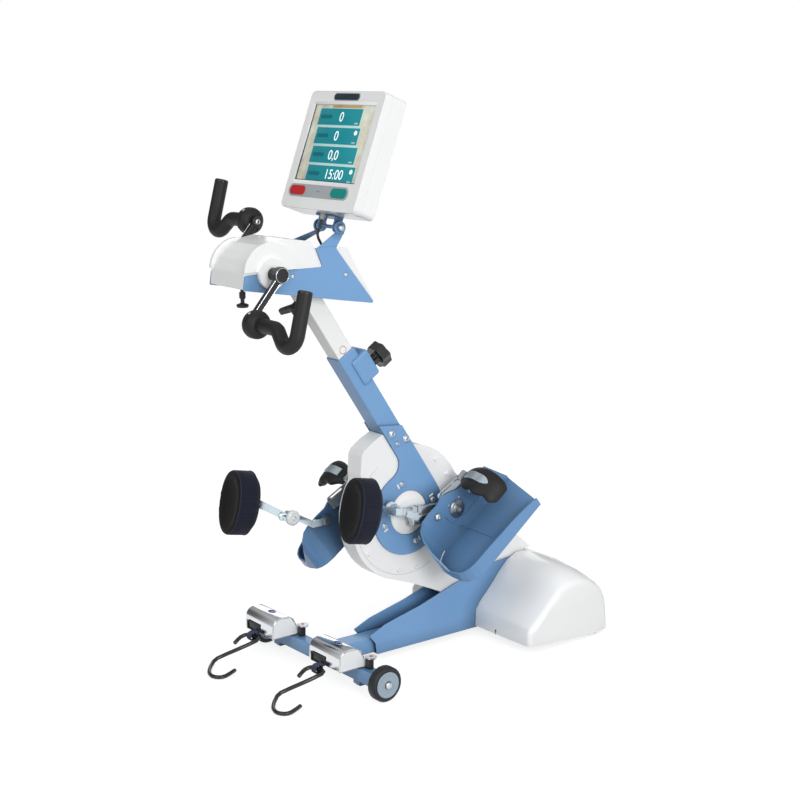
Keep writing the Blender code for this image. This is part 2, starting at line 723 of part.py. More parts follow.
def leg_drive():
    """Crank shaft with its pulley, flat motor, motor pulley and belt in the front case."""
    belt_low = BELT_X
    belt_high = BELT_X + BELT_WIDTH
    rim = 0.0015
    shaft_end = LEG_CRANK_INNER_X - GAP - 0.001
    groove = PULLEY_RADIUS
    web_low = belt_low - GAP - rim
    web_high = belt_high + GAP + rim
    crown = groove + 0.0015
    profile = [(0, shaft_end), (LEG_SHAFT_RADIUS, shaft_end), (LEG_SHAFT_RADIUS, web_high),
               (crown, web_high), (crown, belt_high + GAP), (groove, belt_high + GAP),
               (groove, belt_low - GAP), (crown, belt_low - GAP), (crown, web_low),
               (LEG_SHAFT_RADIUS, web_low), (LEG_SHAFT_RADIUS, -shaft_end), (0, -shaft_end)]
    paint(turned("leg_crank_shaft", profile, LEG_CRANK), STEEL, 0.35, 0.9)

    lean = math.atan2(0.557, 0.830)
    place = Vector((0, -MOTOR_DISTANCE * math.cos(lean), -MOTOR_DISTANCE * math.sin(lean)))
    motor_low = -CASE_HALF_WIDTH + MOULDING + GAP
    motor_high = web_low - 0.002
    shaft = 0.004
    body = [(0, belt_high), (shaft, belt_high), (shaft, motor_high), (MOTOR_RADIUS - 0.003, motor_high),
            (MOTOR_RADIUS, motor_high - 0.003), (MOTOR_RADIUS, motor_low + 0.003),
            (MOTOR_RADIUS - 0.003, motor_low), (0, motor_low)]
    paint(turned("leg_motor", body, DRIVE, place), BLACK, 0.5, 0.3)

    axis = add_empty("leg_motor_axis", ROOT, LEG_AXIS + place)
    small = MOTOR_PULLEY_RADIUS
    bore = shaft + GAP
    wheel = [(bore, web_high), (small + 0.0015, web_high), (small + 0.0015, belt_high + GAP),
             (small, belt_high + GAP), (small, belt_low - GAP), (small + 0.0015, belt_low - GAP),
             (small + 0.0015, web_low), (bore, web_low)]
    paint(turned("leg_motor_pulley", wheel, axis, ring=True, steps=14), STEEL, 0.35, 0.9)

    seat = 0.0008
    inner = hull_of_circles(PULLEY_RADIUS + seat, small + seat, MOTOR_DISTANCE, 10)
    outer = hull_of_circles(PULLEY_RADIUS + seat + BELT_THICKNESS, small + seat + BELT_THICKNESS,
                            MOTOR_DISTANCE, 10)
    belt = flat("leg_drive_belt", [outer, inner], BELT_WIDTH, DRIVE, across(belt_low, belt_high),
                (math.pi / 2, 0, math.pi / 2))
    belt.rotation_euler = (Matrix.Rotation(math.pi + lean, 3, "X")
                           @ belt.rotation_euler.to_matrix()).to_euler()
    paint(belt, BLACK, 0.7)


def leg_cranks():
    """Arms with hub boss, pedal spindle and large washer head."""
    for side in (1, -1):
        name = side_name(side)
        inner_x = LEG_CRANK_INNER_X
        outer_x = inner_x + LEG_CRANK_THICKNESS
        loop = [point * side for point in hull_of_circles(0.019, 0.013, LEG_CRANK_RADIUS)]
        arm = bevel(flat(name + "_leg_crank", [loop], LEG_CRANK_THICKNESS, LEG_CRANK,
                         across(*span(side, inner_x, outer_x))), 0.0015, 1)
        boss_low = CASE_HALF_WIDTH + HUB_RISE + GAP
        boss = cylinder(name + "_crank_boss", 0.015, *span(side, boss_low, inner_x + 0.002), LEG_CRANK,
                        sides=20, helper=True)
        pedal = (0, side * LEG_CRANK_RADIUS, 0)
        spindle = cylinder(name + "_spindle", SPINDLE_RADIUS, *span(side, outer_x - 0.002, 0.076), LEG_CRANK,
                           pedal, sides=14, helper=True)
        washer_low = SHELL_INNER_X + SHELL_WALL + GAP
        head = [(0, washer_low + 0.006), (0.008, washer_low + 0.006), (0.010, washer_low + 0.003),
                (PEDAL_WASHER_RADIUS, washer_low + 0.0015), (PEDAL_WASHER_RADIUS, washer_low), (0, washer_low)]
        if side < 0:
            head = [(radius, -height) for radius, height in reversed(head)]
        washer = turned(name + "_washer", head, LEG_CRANK, pedal, steps=20, helper=True)
        bore = cylinder(name + "_crank_bore", LEG_SHAFT_RADIUS + GAP,
                        *span(side, boss_low - 0.01, LEG_CRANK_INNER_X - GAP), LEG_CRANK, helper=True)
        unite(arm, boss, spindle, washer)
        cut(arm, bore)
        paint(arm, STEEL, 0.35, 0.8)


# Feet

def shell_plan(steps):
    """Plan of the trough wall: inner side from the toe, round the heel, outer side to the toe."""
    rear = -0.127
    inner = [(SHELL_INNER_X, a) for a in (0.148, 0.115, 0.066, 0.029, -0.013, -0.034)]
    outer_front = [(SHELL_OUTER_X, a) for a in (-0.034, -0.013, 0.029, 0.066, 0.100, 0.121)]
    width = (SHELL_OUTER_X - SHELL_INNER_X) / 2
    middle = (SHELL_INNER_X + SHELL_OUTER_X) / 2
    depth = -0.060 - rear
    bend = []
    for step in range(steps + 1):
        turn = math.pi * step / steps
        bend.append((middle - width * math.copysign(abs(math.cos(turn)) ** 0.6, math.cos(turn)),
                     -0.060 - depth * math.sin(turn) ** 0.75))
    return inner + bend + outer_front, len(inner)


def wall_top(index, count, bend_start, steps):
    """Height of the wall's top edge along the plan."""
    inner_tops = (-0.050, 0.016, 0.031, 0.034, 0.055, 0.048)
    outer_tops = (-0.047, -0.048, -0.050, -0.053, -0.058, -0.062)
    if index < bend_start:
        return inner_tops[index]
    if index > bend_start + steps:
        return outer_tops[index - bend_start - steps - 1]
    share = (index - bend_start) / steps
    if share < 0.5:
        return -0.052 + 0.102 * (1 - (share * 2) ** 2.6)
    return -0.052 + 0.006 * (share - 0.5) * 2


def floor_height(x):
    """The floor falls from the inner wall to the outer one."""
    share = (x - SHELL_INNER_X) / (SHELL_OUTER_X - SHELL_INNER_X)
    return -0.060 - 0.022 * share


def foot_shells():
    """Moulded foot troughs: high inner wall, round heel, low outer lip, open toe."""
    steps = 10
    plan, bend_start = shell_plan(steps)
    count = len(plan)
    floor_columns = 3
    for side in (1, -1):
        name = side_name(side)
        pedal = add_empty(name + "_foot_axis", LEG_CRANK, (0, side * LEG_CRANK_RADIUS, 0),
                          (FOOT_TILT - LEG_CRANK_ANGLE, 0, 0))
        shape = bmesh.new()
        columns = []
        for index, (x, a) in enumerate(plan):
            top = wall_top(index, count, bend_start, steps)
            bottom = floor_height(x)
            rows = (top, (top + bottom) / 2, bottom)
            columns.append([shape.verts.new((side * x, a, b)) for b in rows])
        for one, two in zip(columns, columns[1:]):
            for row in range(2):
                shape.faces.new((one[row], one[row + 1], two[row + 1], two[row]))
        crossings = []
        half = count // 2
        for index in range(half):
            start = columns[index][2]
            end = columns[count - 1 - index][2]
            line = [start]
            for step in range(1, floor_columns):
                place = start.co.lerp(end.co, step / floor_columns)
                line.append(shape.verts.new(place))
            crossings.append(line + [end])
        for one, two in zip(crossings, crossings[1:]):
            for step in range(floor_columns):
                shape.faces.new((one[step], one[step + 1], two[step + 1], two[step]))
        last = crossings[-1]
        middle = [columns[index][2] for index in range(half, count - half)]
        if middle:
            shape.faces.new(last + list(reversed(middle)))
        elif len(last) > 2:
            bmesh.ops.contextual_create(shape, geom=last)
        shell = add_object(name + "_foot_shell", mesh_from(shape, name + "_foot_shell"), pedal)
        solidify(shell, SHELL_WALL)
        boss_low = CALF_BAR_X + CALF_BAR_THICKNESS + GAP
        boss = cylinder(name + "_calf_boss", 0.012, *span(side, boss_low, SHELL_INNER_X + 0.001), pedal,
                        (0, *CALF_PIVOT), sides=16, helper=True)
        spindle_hole = cylinder(name + "_spindle_hole", SPINDLE_RADIUS + GAP, *span(side, 0.05, 0.09), pedal,
                                sides=14, helper=True)
        pin_hole = cylinder(name + "_pin_hole", CALF_PIN_RADIUS + GAP, *span(side, 0.05, 0.09), pedal,
                            (0, *CALF_PIVOT), sides=12, helper=True)
        unite(shell, boss)
        cut(shell, spindle_hole, pin_hole)
        paint(shell, BLUE, 0.4)
        foot_clamp(side, name, pedal)
        calf_support(side, name, pedal)


def foot_clamp(side, name, pedal):
    """Slotted bar on the inner wall, and the claw that folds over the instep."""
    bar_x = span(side, SHELL_INNER_X - GAP - 0.003, SHELL_INNER_X - GAP)
    outline = rounded([(-0.020, 0.030, 0.003), (-0.020, 0.063, 0.006), (0.046, 0.052, 0.006),
                       (0.046, 0.030, 0.003), (0.020, 0.024, 0.003)], 3)
    slot = rounded([(-0.012, 0.054, 0.0024), (-0.012, 0.0595, 0.0024), (0.024, 0.0535, 0.0024),
                    (0.024, 0.048, 0.0024)], 3)
    bar = flat(name + "_clamp_bar", [outline, slot], 0.003, pedal, across(*bar_x))
    paint(bar, STEEL, 0.35, 0.9)
    axis = add_empty(name + "_clamp_axis", pedal, (side * (SHELL_INNER_X + 0.006), 0, 0.049))
    ring_radius = 0.009
    ring = turned(name + "_foot_clamp", [(ring_radius - 0.002, 0.066), (ring_radius, 0.064),
                                         (ring_radius, 0.046), (0.004, 0.046), (0.004, 0.066)],
                  axis, rotation=(-math.pi / 2, 0, 0), ring=True, steps=14)
    claw_line = [(0.006, 0.002), (0.020, 0.010), (0.040, 0.013), (0.060, 0.009), (0.080, -0.001),
                 (0.094, -0.016), (0.099, -0.034)]
    thickness = 0.017
    lower = []
    ribs = 4
    for index, (x, b) in enumerate(reversed(claw_line)):
        drop = thickness - (0.004 if index % 2 else 0.0)
        lower.append((x - 0.004, b - drop))
    outline = [Vector((x * side, b)) for x, b in claw_line + lower]
    claw = flat(name + "_claw", [outline], 0.052, axis, (0, 0.058, 0), (math.pi / 2, 0, 0), helper=True)
    bevel(claw, 0.004, 1, 50)
    unite(ring, claw)
    paint(ring, BLACK, 0.45)


def calf_support(side, name, pedal):
    """Cranked bar with its pivot bolt, plate and the cup with its pad."""
    reach = NEAR_PAD_REACH if side > 0 else FAR_PAD_REACH
    axis = add_empty(name + "_calf_axis", pedal, (0, *CALF_PIVOT), (-FOOT_TILT, 0, 0))
    bar_x = span(side, CALF_BAR_X, CALF_BAR_X + CALF_BAR_THICKNESS)
    wide = 0.008
    plate_end = 0.125
    line = [(0.004, 0), (-0.038, -0.001), (-0.085, 0.024), (-plate_end, 0.030)]
    upper = [Vector((y, z + wide)) for y, z in line]
    lower = [Vector((y, z - wide)) for y, z in reversed(line)]
    corners = [(*point, 0.005) for point in upper + lower]
    bar = flat(name + "_calf_arm", [rounded(corners, 3)], CALF_BAR_THICKNESS, axis, across(*bar_x))
    pin = cylinder(name + "_calf_pin", CALF_PIN_RADIUS, *span(side, CALF_BAR_X + 0.002, 0.0765), axis,
                   sides=12, helper=True)
    head_low = SHELL_INNER_X + SHELL_WALL + GAP
    head = cylinder(name + "_calf_head", 0.0075, *span(side, head_low, head_low + 0.004), axis,
                    sides=14, helper=True)
    pad_x = 0.112
    cup_back = -reach + 0.058
    sleeve = wedge(name + "_calf_sleeve",
                   [(side * x, -plate_end + 0.016, z) for x, z in ((0.0595, 0.020), (0.0660, 0.020),
                                                                   (0.0660, 0.037), (0.0595, 0.037))],
                   [(side * x, cup_back + 0.0011, z) for x, z in ((pad_x - 0.007, 0.050), (pad_x + 0.007, 0.050),
                                                                  (pad_x + 0.007, 0.070), (pad_x - 0.007, 0.070))],
                   axis)
    knob = cylinder(name + "_calf_knob", 0.013, *span(side, CALF_BAR_X - 0.020, CALF_BAR_X + 0.002), axis,
                    (0, -plate_end + 0.022, 0.0285), sides=18, helper=True)
    unite(bar, pin, head, sleeve, knob)
    paint(bar, STEEL, 0.3, 0.9)

    holder = add_empty(name + "_pad_line", axis, (side * pad_x, -reach, 0.067), (math.radians(-11), 0, 0))
    cup = pad_body(name + "_calf_pad", holder)
    paint(cup, BLACK, 0.8)


def pad_body(name, holder):
    """Oval calf pad: dished cushion in a tapering cup, its opening towards the user."""
    half_wide = 0.039
    half_tall = 0.0685
    depth = 0.057
    rings = [(0.0, 0.010), (0.55, 0.006), (0.88, -0.003), (1.0, 0.003), (1.0, 0.040), (0.78, depth), (0.0, depth)]
    sides = 22
    shape = bmesh.new()
    loops = []
    for share, y in rings:
        if share == 0:
            loops.append([shape.verts.new((0, y, 0))])
            continue
        loop = []
        for step in range(sides):
            angle = 2 * math.pi * step / sides
            loop.append(shape.verts.new((half_wide * share * math.cos(angle), y,
                                         half_tall * share * math.sin(angle))))
        loops.append(loop)
    for one, two in zip(loops, loops[1:]):
        for step in range(sides):
            following = (step + 1) % sides
            if len(one) == 1:
                shape.faces.new((one[0], two[following], two[step]))
            elif len(two) == 1:
                shape.faces.new((one[step], one[following], two[0]))
            else:
                shape.faces.new((one[step], one[following], two[following], two[step]))
    return add_object(name, mesh_from(shape, name), holder)


# Strap reels

def reel_outline():
    """D-shaped side drawing of a reel housing that stands on the cross tube."""
    seat = WHEEL_RADIUS + TUBE_SIDE / 2 + GAP
    return [(-0.0667, seat, 0.002), (-0.0650, 0.086, 0.010), (-0.046, 0.099, 0.012),
            (-0.018, 0.0985, 0.016), (0.0078, seat + 0.006, 0.004), (0.0078, seat, 0.001)]


def reels():
    outline = reel_outline()
    for side, low_x in ((1, NEAR_REEL_X), (-1, FAR_REEL_X)):
        name = side_name(side)
        high_x = low_x + REEL_WIDTH
        wall = REEL_WALL
        housing = flat(name + "_reel", [rounded(outline, 5)], REEL_WIDTH, ROOT, across(low_x, high_x))
        hollow = flat(name + "_reel_hollow", [rounded(inset(outline, wall), 5)], REEL_WIDTH - 2 * wall, ROOT,
                      across(low_x + wall, high_x - wall), helper=True)
        slot = box(name + "_reel_slot", (low_x + 0.011, -0.080, 0.0555), (low_x + 0.058, -0.055, 0.073), ROOT,
                   helper=True)
        cut(housing, hollow, slot)
        paint(housing, STEEL, 0.15, 1.0)
        cap = flat(name + "_reel_cap", [rounded(inset(outline, 0.0012), 5)], 0.002, ROOT,
                   across(high_x + GAP, high_x + GAP + 0.002))
        paint(cap, WHITE, 0.3)
        strap_and_hook(name, low_x)
        reel_lever(name, high_x)


def strap_and_hook(name, low_x):
    """Webbing that runs into the reel and round the eye of an S-hook."""
    shift = low_x - HOOK_DRAWN_FOR_X
    axis = add_empty(name + "_strap_axis", ROOT, (low_x + 0.049, -0.066, 0.065))
    start = Vector(axis.location)
    bar = Vector((shift + 0.091, -0.0775, 0.0485))
    inner = 0.0088
    sheet = 0.0018
    ring = [Vector((-0.018, 0.062)), Vector((-0.064, 0.0615))]
    ring += arc((bar.y, bar.z), inner + sheet, 75, 305, 14)
    ring += [Vector((-0.066, 0.0585)), Vector((-0.018, 0.0592))]
    hole = arc((bar.y, bar.z), inner, 20, 340, 14)
    loop = flat(name + "_webbing", [[p - Vector(start.yz) for p in ring], [p - Vector(start.yz) for p in hole]],
                0.012, axis, (bar.x - start.x, 0, 0))
    paint(loop, (0.13, 0.16, 0.26), 0.9)
    points = [(0.081, -0.118, 0.0385), (0.0735, -0.097, 0.046), (0.0795, -0.0825, 0.0500),
              (0.091, -0.0775, 0.0485), (0.1015, -0.0725, 0.0470), (0.112, -0.0815, 0.0445),
              (0.103, -0.124, 0.0320), (0.084, -0.165, 0.0150), (0.094, -0.184, 0.0095),
              (0.109, -0.199, 0.0075), (0.126, -0.211, 0.0060), (0.146, -0.216, 0.0055),
              (0.161, -0.208, 0.0055), (0.164, -0.193, 0.0060), (0.1535, -0.1634, 0.0085)]
    placed = [Vector((x + shift, y, z)) - start for x, y, z in points]
    hook = tube(name + "_hook", soft_line(placed, 2), HOOK_RADIUS, axis, resolution=2)
    paint(hook, BLACK, 0.4)


def soft_line(points, steps):
    """A smooth line through hand-placed points (Catmull-Rom)."""
    line = []
    ends = [points[0] * 2 - points[1]] + points + [points[-1] * 2 - points[-2]]
    for one, two, three, four in zip(ends, ends[1:], ends[2:], ends[3:]):
        for step in range(steps):
            t = step / steps
            line.append(0.5 * (2 * two + (three - one) * t + (2 * one - 5 * two + 4 * three - four) * t * t
                               + (3 * two - one - 3 * three + four) * t ** 3))
    line.append(points[-1])
    return line


def reel_lever(name, high_x):
    """Release lever on its dark post beside the reel."""
    seat = WHEEL_RADIUS + TUBE_SIDE / 2 + GAP
    axis = add_empty(name + "_lever_axis", ROOT, (high_x + 0.014, 0.004, seat + 0.020))
    post = bevel(box(name + "_reel_lever", (-0.006, -0.005, -0.0197), (0.006, 0.005, 0.004), axis), 0.001)
    blade = flat(name + "_blade", [rounded([(-0.010, -0.007, 0.003), (0.010, -0.008, 0.003), (0.016, 0.004, 0.003),
                                            (0.008, 0.014, 0.004), (-0.006, 0.012, 0.004)], 3)],
                 0.004, axis, (0, 0, 0.0045), (0, 0, 0), helper=True)
    unite(post, blade)
    paint(post, STEEL, 0.3, 0.9)


# Arm unit

def arm_plate_outline():
    """Side drawing of an arm plate, from the arm axis, up to its bend line."""
    return rounded([(-0.0633, -0.0293, 0.002), (0.0357, -0.0453, 0), (0.170, -0.067, 0),
                    (0.2565, -0.0805, 0.003), (0.160, 0.038, 0), (0.160, 0.043, 0), (0.1095, 0.043, 0),
                    (0.1095, 0.041, 0), (0.126, 0.004, 0.003), (0.0437, 0.004, 0),
                    (-0.0153, 0.002, 0), (-0.0592, -0.0013, 0.002)], 3)


def arm_plates():
    """Blue side plates whose rear arms bend inwards up to the monitor hinge."""
    low = ARM_PLATE_INNER_X
    high = low + ARM_PLATE_SHEET
    hinge = MONITOR_HINGE - ARM_AXIS
    ear_low = 0.0345
    ear_high = ear_low + 0.004
    for side in (1, -1):
        name = side_name(side)
        plate = flat(name + "_arm_plate", [arm_plate_outline()], ARM_PLATE_SHEET, ARM, across(*span(side, low, high)))
        skin = 0.0002
        foot = [(side * x, y, 0.041) for x, y in ((low + skin, 0.110), (high - skin, 0.110),
                                                  (high - skin, 0.1595), (low + skin, 0.1595))]
        head = [(side * x, hinge.y + y, hinge.z - 0.0098)
                for x, y in ((ear_low + skin, -0.011), (ear_high - skin, -0.011), (ear_high - skin, 0.010),
                             (ear_low + skin, 0.010))]
        flange = wedge(name + "_flange", foot, head, ARM)
        root_low, root_high = span(side, ear_low + skin / 2, ear_high - skin / 2)
        root = box(name + "_ear_root", (root_low, hinge.y - 0.0106, hinge.z - 0.0130),
                   (root_high, hinge.y + 0.0096, hinge.z - 0.006), ARM, helper=True)
        ear = cylinder(name + "_ear", 0.0135, *span(side, ear_low, ear_high), ARM, hinge, sides=18, helper=True)
        hole = cylinder(name + "_ear_hole", 0.004 + GAP, *span(side, ear_low - 0.01, ear_high + 0.01), ARM, hinge,
                        sides=12, helper=True)
        boss_hole = cylinder(name + "_boss_hole", 0.031 + GAP, *span(side, low - 0.01, high + 0.01), ARM,
                             sides=28, helper=True)
        unite(plate, flange, root, ear)
        cut(plate, hole, boss_hole)
        paint(plate, BLUE, 0.35)


def arm_housing():
    """White moulded housing: open below, with a boss round each end of the crank shaft."""
    points = [(-0.0625, -0.0275, 0.002), (-0.0595, 0.004, 0.02), (-0.0485, 0.0275, 0.012),
              (-0.034, 0.0426, 0.012), (-0.0145, 0.055, 0.012), (0.0115, 0.061, 0.012),
              (0.0377, 0.0655, 0.012), (0.099, 0.057, 0.004), (0.108, 0.040, 0.006),
              (0.1875, 0.0395, 0.004), (0.2575, -0.078, 0.003), (0.170, -0.065, 0),
              (0.0357, -0.0433, 0)]
    half = ARM_PLATE_INNER_X - GAP
    housing = bevel(flat("arm_housing", [rounded(points, 2)], 2 * half, ARM), 0.004, 1, 60)
    wall = 0.003
    inner = rounded(inset(points, wall), 2)
    hollow = flat("housing_hollow", [inner], 2 * (half - wall), ARM, helper=True)
    fit = MAST_HALF_WIDTH - MAST_WALL
    mouth = box("housing_mouth", (-fit, -fit, 0.08), (fit, fit, UPPER_MAST_REACH + 0.01), UPPER, helper=True)
    guide = cylinder("plunger_guide", PLUNGER_RADIUS + GAP, -0.05, -0.015, ARM, (PLUNGER_X, PLUNGER_Y, 0),
                     (0, 0, 0), 14, helper=True)
    cut(housing, hollow)
    for side in (1, -1):
        ring = cylinder(side_name(side) + "_boss_ring", 0.031, *span(side, half - 0.001, half + 0.012), ARM,
                        sides=24, helper=True)
        disc = cylinder(side_name(side) + "_boss_disc", 0.062, *span(side, half - 0.001, half + 0.0055), ARM,
                        sides=36, helper=True)
        trim = box(side_name(side) + "_boss_trim", (-0.2, -0.1, -0.1), (0.2, 0.1, 0.0048), ARM, helper=True)
        cut(disc, trim)
        unite(housing, disc, ring)
    bore = cylinder("arm_shaft_bore", ARM_SHAFT_RADIUS + GAP, -0.1, 0.1, ARM, sides=16, helper=True)
    cut(housing, bore, mouth, guide)
    paint(housing, WHITE, 0.3)


def arm_drive():
    """Crank shaft across the housing and the drive motor round it."""
    end = ARM_CRANK_INNER_X + 0.006
    shaft = turned("arm_crank_shaft", [(0, end), (ARM_SHAFT_RADIUS, end), (ARM_SHAFT_RADIUS, -end), (0, -end)],
                   ARM_CRANK, steps=16)
    paint(shaft, STEEL, 0.3, 0.9)
    bore = ARM_SHAFT_RADIUS + GAP
    half = ARM_PLATE_INNER_X - GAP - 0.003 - GAP
    motor = turned("arm_motor", [(bore, half), (0.014, half), (0.014, 0.024), (0.029, 0.024), (0.029, -0.024),
                                 (0.014, -0.024), (0.014, -half),
                                 (bore, -half)], ARM, ring=True, steps=20)
    paint(motor, BLACK, 0.5, 0.3)


def arm_cranks():
    for side in (1, -1):
        name = side_name(side)
        low = ARM_CRANK_INNER_X
        high = low + ARM_CRANK_THICKNESS
        loop = [point * -side for point in hull_of_circles(0.0165, 0.012, ARM_CRANK_RADIUS)]
        arm = bevel(flat(name + "_arm_crank", [loop], ARM_CRANK_THICKNESS, ARM_CRANK,
                         across(*span(side, low, high))), 0.002, 1)
        bush_low = ARM_PLATE_INNER_X - GAP + 0.012 + 0.0007
        bush = cylinder(name + "_crank_bush", 0.0125, *span(side, bush_low, low + 0.002), ARM_CRANK,
                        sides=16, helper=True)
        tip = (0, -side * ARM_CRANK_RADIUS, 0)
        head_low = high + GAP + HANDLE_HUB_WIDTH - 0.012 + GAP
        socket = cylinder(name + "_crank_socket", ARM_SHAFT_RADIUS + GAP,
                          *span(side, bush_low - 0.01, low + 0.006 + GAP), ARM_CRANK, sides=16, helper=True)
        unite(arm, bush)
        pin = cylinder(name + "_handle_pin", 0.005, *span(side, high - 0.002, head_low), ARM_CRANK, tip,
                       sides=12, helper=True)
        unite(arm, pin)
        cut(arm, socket)
        paint(arm, BLACK, 0.3)


def handles():
    """Round hubs on the crank ends, each with its bent grip."""
    for side in (1, -1):
        name = side_name(side)
        low = ARM_CRANK_INNER_X + ARM_CRANK_THICKNESS + GAP
        high = low + HANDLE_HUB_WIDTH
        axis = add_empty(name + "_handle_axis", ARM_CRANK, (0, -side * ARM_CRANK_RADIUS, 0),
                         (-ARM_CRANK_ANGLE, 0, 0))
        radius = HANDLE_HUB_RADIUS
        middle = (low + high) / 2
        half = HANDLE_HUB_WIDTH / 2
        profile = []
        for step in range(7):
            turn = math.radians(90 - 180 * step / 6)
            profile.append((radius - half * 0.55 * (1 - math.cos(turn)), middle + half * math.sin(turn)))
        profile = [(0, high)] + profile + [(0, low)]
        if side < 0:
            profile = [(r, -h) for r, h in reversed(profile)]
        hub = turned(name + "_handle", profile, axis, steps=20)
        line = bent([(side * middle, 0, 0), (side * (middle + 0.072), 0, 0),
                     (side * (middle + 0.1405), -0.015, -0.063), (side * (middle + 0.1385), 0.020, 0.078)],
                    0.026, 5)
        grip = tube(name + "_grip", line, HANDLE_TUBE_RADIUS, axis, resolution=3, helper=True)
        hole = cylinder(name + "_handle_hole", 0.005 + GAP, *span(side, low - 0.01, high - 0.012 + 2 * GAP),
                        axis, sides=12, helper=True)
        unite(hub, grip)
        cut(hub, hole)
        paint(hub, BLACK, 0.55)


def lock_plunger():
    """Spring plunger under the front of the arm unit that locks the cranks."""
    axis = add_empty("plunger_axis", ARM, (PLUNGER_X, PLUNGER_Y, -0.020))
    stem = PLUNGER_RADIUS
    profile = [(0, 0.030), (stem, 0.030), (stem, -0.018), (0.0065, -0.019), (0.0065, -0.030), (stem, -0.033),
               (stem, -0.040), (0.012, -0.043), (0.0125, -0.046), (0.011, -0.049), (0, -0.049)]
    paint(turned("lock_plunger", profile, axis, rotation=(0, 0, 0), steps=14), BLACK, 0.45)


def wing_knob():
    """Winged clamp screw below the unit, against the front of the inner mast."""
    tilt_axis = add_empty("wing_knob_axis", UPPER, (0, -(MAST_HALF_WIDTH - MAST_WALL - GAP), 0.150),
                          (math.pi / 2, 0, 0))
    stem = turned("wing_knob", [(0, 0.020), (0.0095, 0.020), (0.0095, 0.006), (0.005, 0.005), (0.005, GAP),
                                (0, GAP)], tilt_axis, rotation=(0, 0, 0), steps=14)
    wing = flat("wing", [rounded([(-0.009, 0.010, 0.002), (-0.034, 0.030, 0.006), (-0.026, 0.039, 0.004),
                                  (0, 0.024, 0.010), (0.026, 0.039, 0.004), (0.034, 0.030, 0.006),
                                  (0.009, 0.010, 0.002)], 3)],
                0.010, tilt_axis, (0, 0, 0), (math.pi / 2, 0, 0), helper=True)
    unite(stem, bevel(wing, 0.0015, 1))
    paint(stem, BLACK, 0.5)


# Monitor

def monitor():
    wide = MONITOR_HALF_WIDTH
    bottom = MONITOR_BOTTOM
    top = bottom + MONITOR_HEIGHT
    front = MONITOR_FACE_Y
    back = front + MONITOR_DEPTH
    seam = front + 0.022
    wall = MONITOR_WALL
    corner = 0.012
    corners = [(-wide, bottom, corner), (wide, bottom, corner), (wide, top, corner), (-wide, top, corner)]
    face = rounded(corners, 4)
    flat_on = (math.pi / 2, 0, 0)
    inner = rounded(inset(corners, wall), 4)

    bezel = flat("monitor_front", [face], seam - GAP - front, MONITOR, (0, (front + seam - GAP) / 2, 0), flat_on)
    depth = seam - front
    hollow = flat("front_hollow", [inner], depth, MONITOR, (0, front + 0.004 + depth / 2, 0), flat_on, helper=True)
    screen_low = bottom + 0.060
    screen_high = top - 0.023
    window = box("screen_window", (-0.106, front - 0.01, screen_low), (0.106, front + 0.01, screen_high), MONITOR,
                 helper=True)
    cut(bezel, hollow, window)
    button_z = bottom + 0.038
    pill = [(-0.0265, -0.0095, 0.009), (0.0265, -0.0095, 0.009), (0.0265, 0.0095, 0.009),
            (-0.0265, 0.0095, 0.009)]
    for name, x, colour in (("stop_button", -0.080, (0.75, 0.03, 0.04)), ("start_button", 0.064, (0.0, 0.32, 0.30))):
        axis = add_empty(name + "_axis", MONITOR, (x, front, button_z))
        opening = flat(name + "_hole", [rounded(inset(pill, -GAP), 5)], 0.02, axis, (0, 0, 0), flat_on, helper=True)
        cut(bezel, opening)
        button = flat(name, [rounded(pill, 5)], 0.0075, axis, (0, 0.0020, 0), flat_on)
        paint(button, colour, 0.4)
    paint(bezel, WHITE, 0.35)

    shell = bevel(flat("monitor_back", [face], back - seam, MONITOR, (0, (seam + back) / 2, 0), flat_on), 0.004,
                  2, 60)
    rear_hollow = flat("back_hollow", [inner], back - seam, MONITOR, (0, (seam + back) / 2 - wall, 0), flat_on,
                       helper=True)
    cut(shell, rear_hollow)
    paint(shell, WHITE, 0.35)

    panel = box("monitor_screen", (-0.110, front + 0.004 + GAP, screen_low - 0.004),
                (0.110, front + 0.0065, screen_high + 0.004), MONITOR)
    paint(panel, (0.02, 0.22, 0.26), 0.2)

    ear_low = 0.0255
    ear_high = ear_low + 0.0045
    plate_top = bottom - GAP
    plate = box("monitor_bracket", (-ear_high, -0.020, plate_top - 0.004), (ear_high, 0.0075, plate_top), MONITOR)
    for side in (1, -1):
        name = side_name(side)
        ear = cylinder(name + "_bracket_ear", 0.012, *span(side, ear_low, ear_high), MONITOR, sides=18, helper=True)
        web = box(name + "_bracket_web", (min(side * ear_low, side * ear_high), -0.011, 0),
                  (max(side * ear_low, side * ear_high), 0.0075, plate_top - 0.001), MONITOR, helper=True)
        unite(plate, ear, web)
    reach = 0.0345 + 0.004 + GAP
    profile = [(0, reach + 0.004), (0.006, reach + 0.004), (0.0075, reach + 0.002), (0.0075, reach), (0.004, reach),
               (0.004, -reach), (0.0075, -reach), (0.0075, -reach - 0.002), (0.006, -reach - 0.004),
               (0, -reach - 0.004)]
    unite(plate, turned("hinge_pin", profile, MONITOR, steps=12, helper=True))
    paint(plate, BLUE, 0.35)


def monitor_cable():
    """Short lead from the socket under the monitor down into the arm unit."""
    hinge = MONITOR_HINGE - ARM_AXIS
    points = [(0, hinge.y - 0.026, hinge.z - 0.004), (0.002, hinge.y - 0.031, hinge.z - 0.014),
              (0.003, hinge.y - 0.029, hinge.z - 0.024), (0.002, hinge.y - 0.024, hinge.z - 0.031),
              (0, hinge.y - 0.021, 0.0425)]
    lead = tube("monitor_cable", soft_line([Vector(point) for point in points], 3), 0.0028, ARM, resolution=2)
    paint(lead, (0.10, 0.12, 0.10), 0.6)


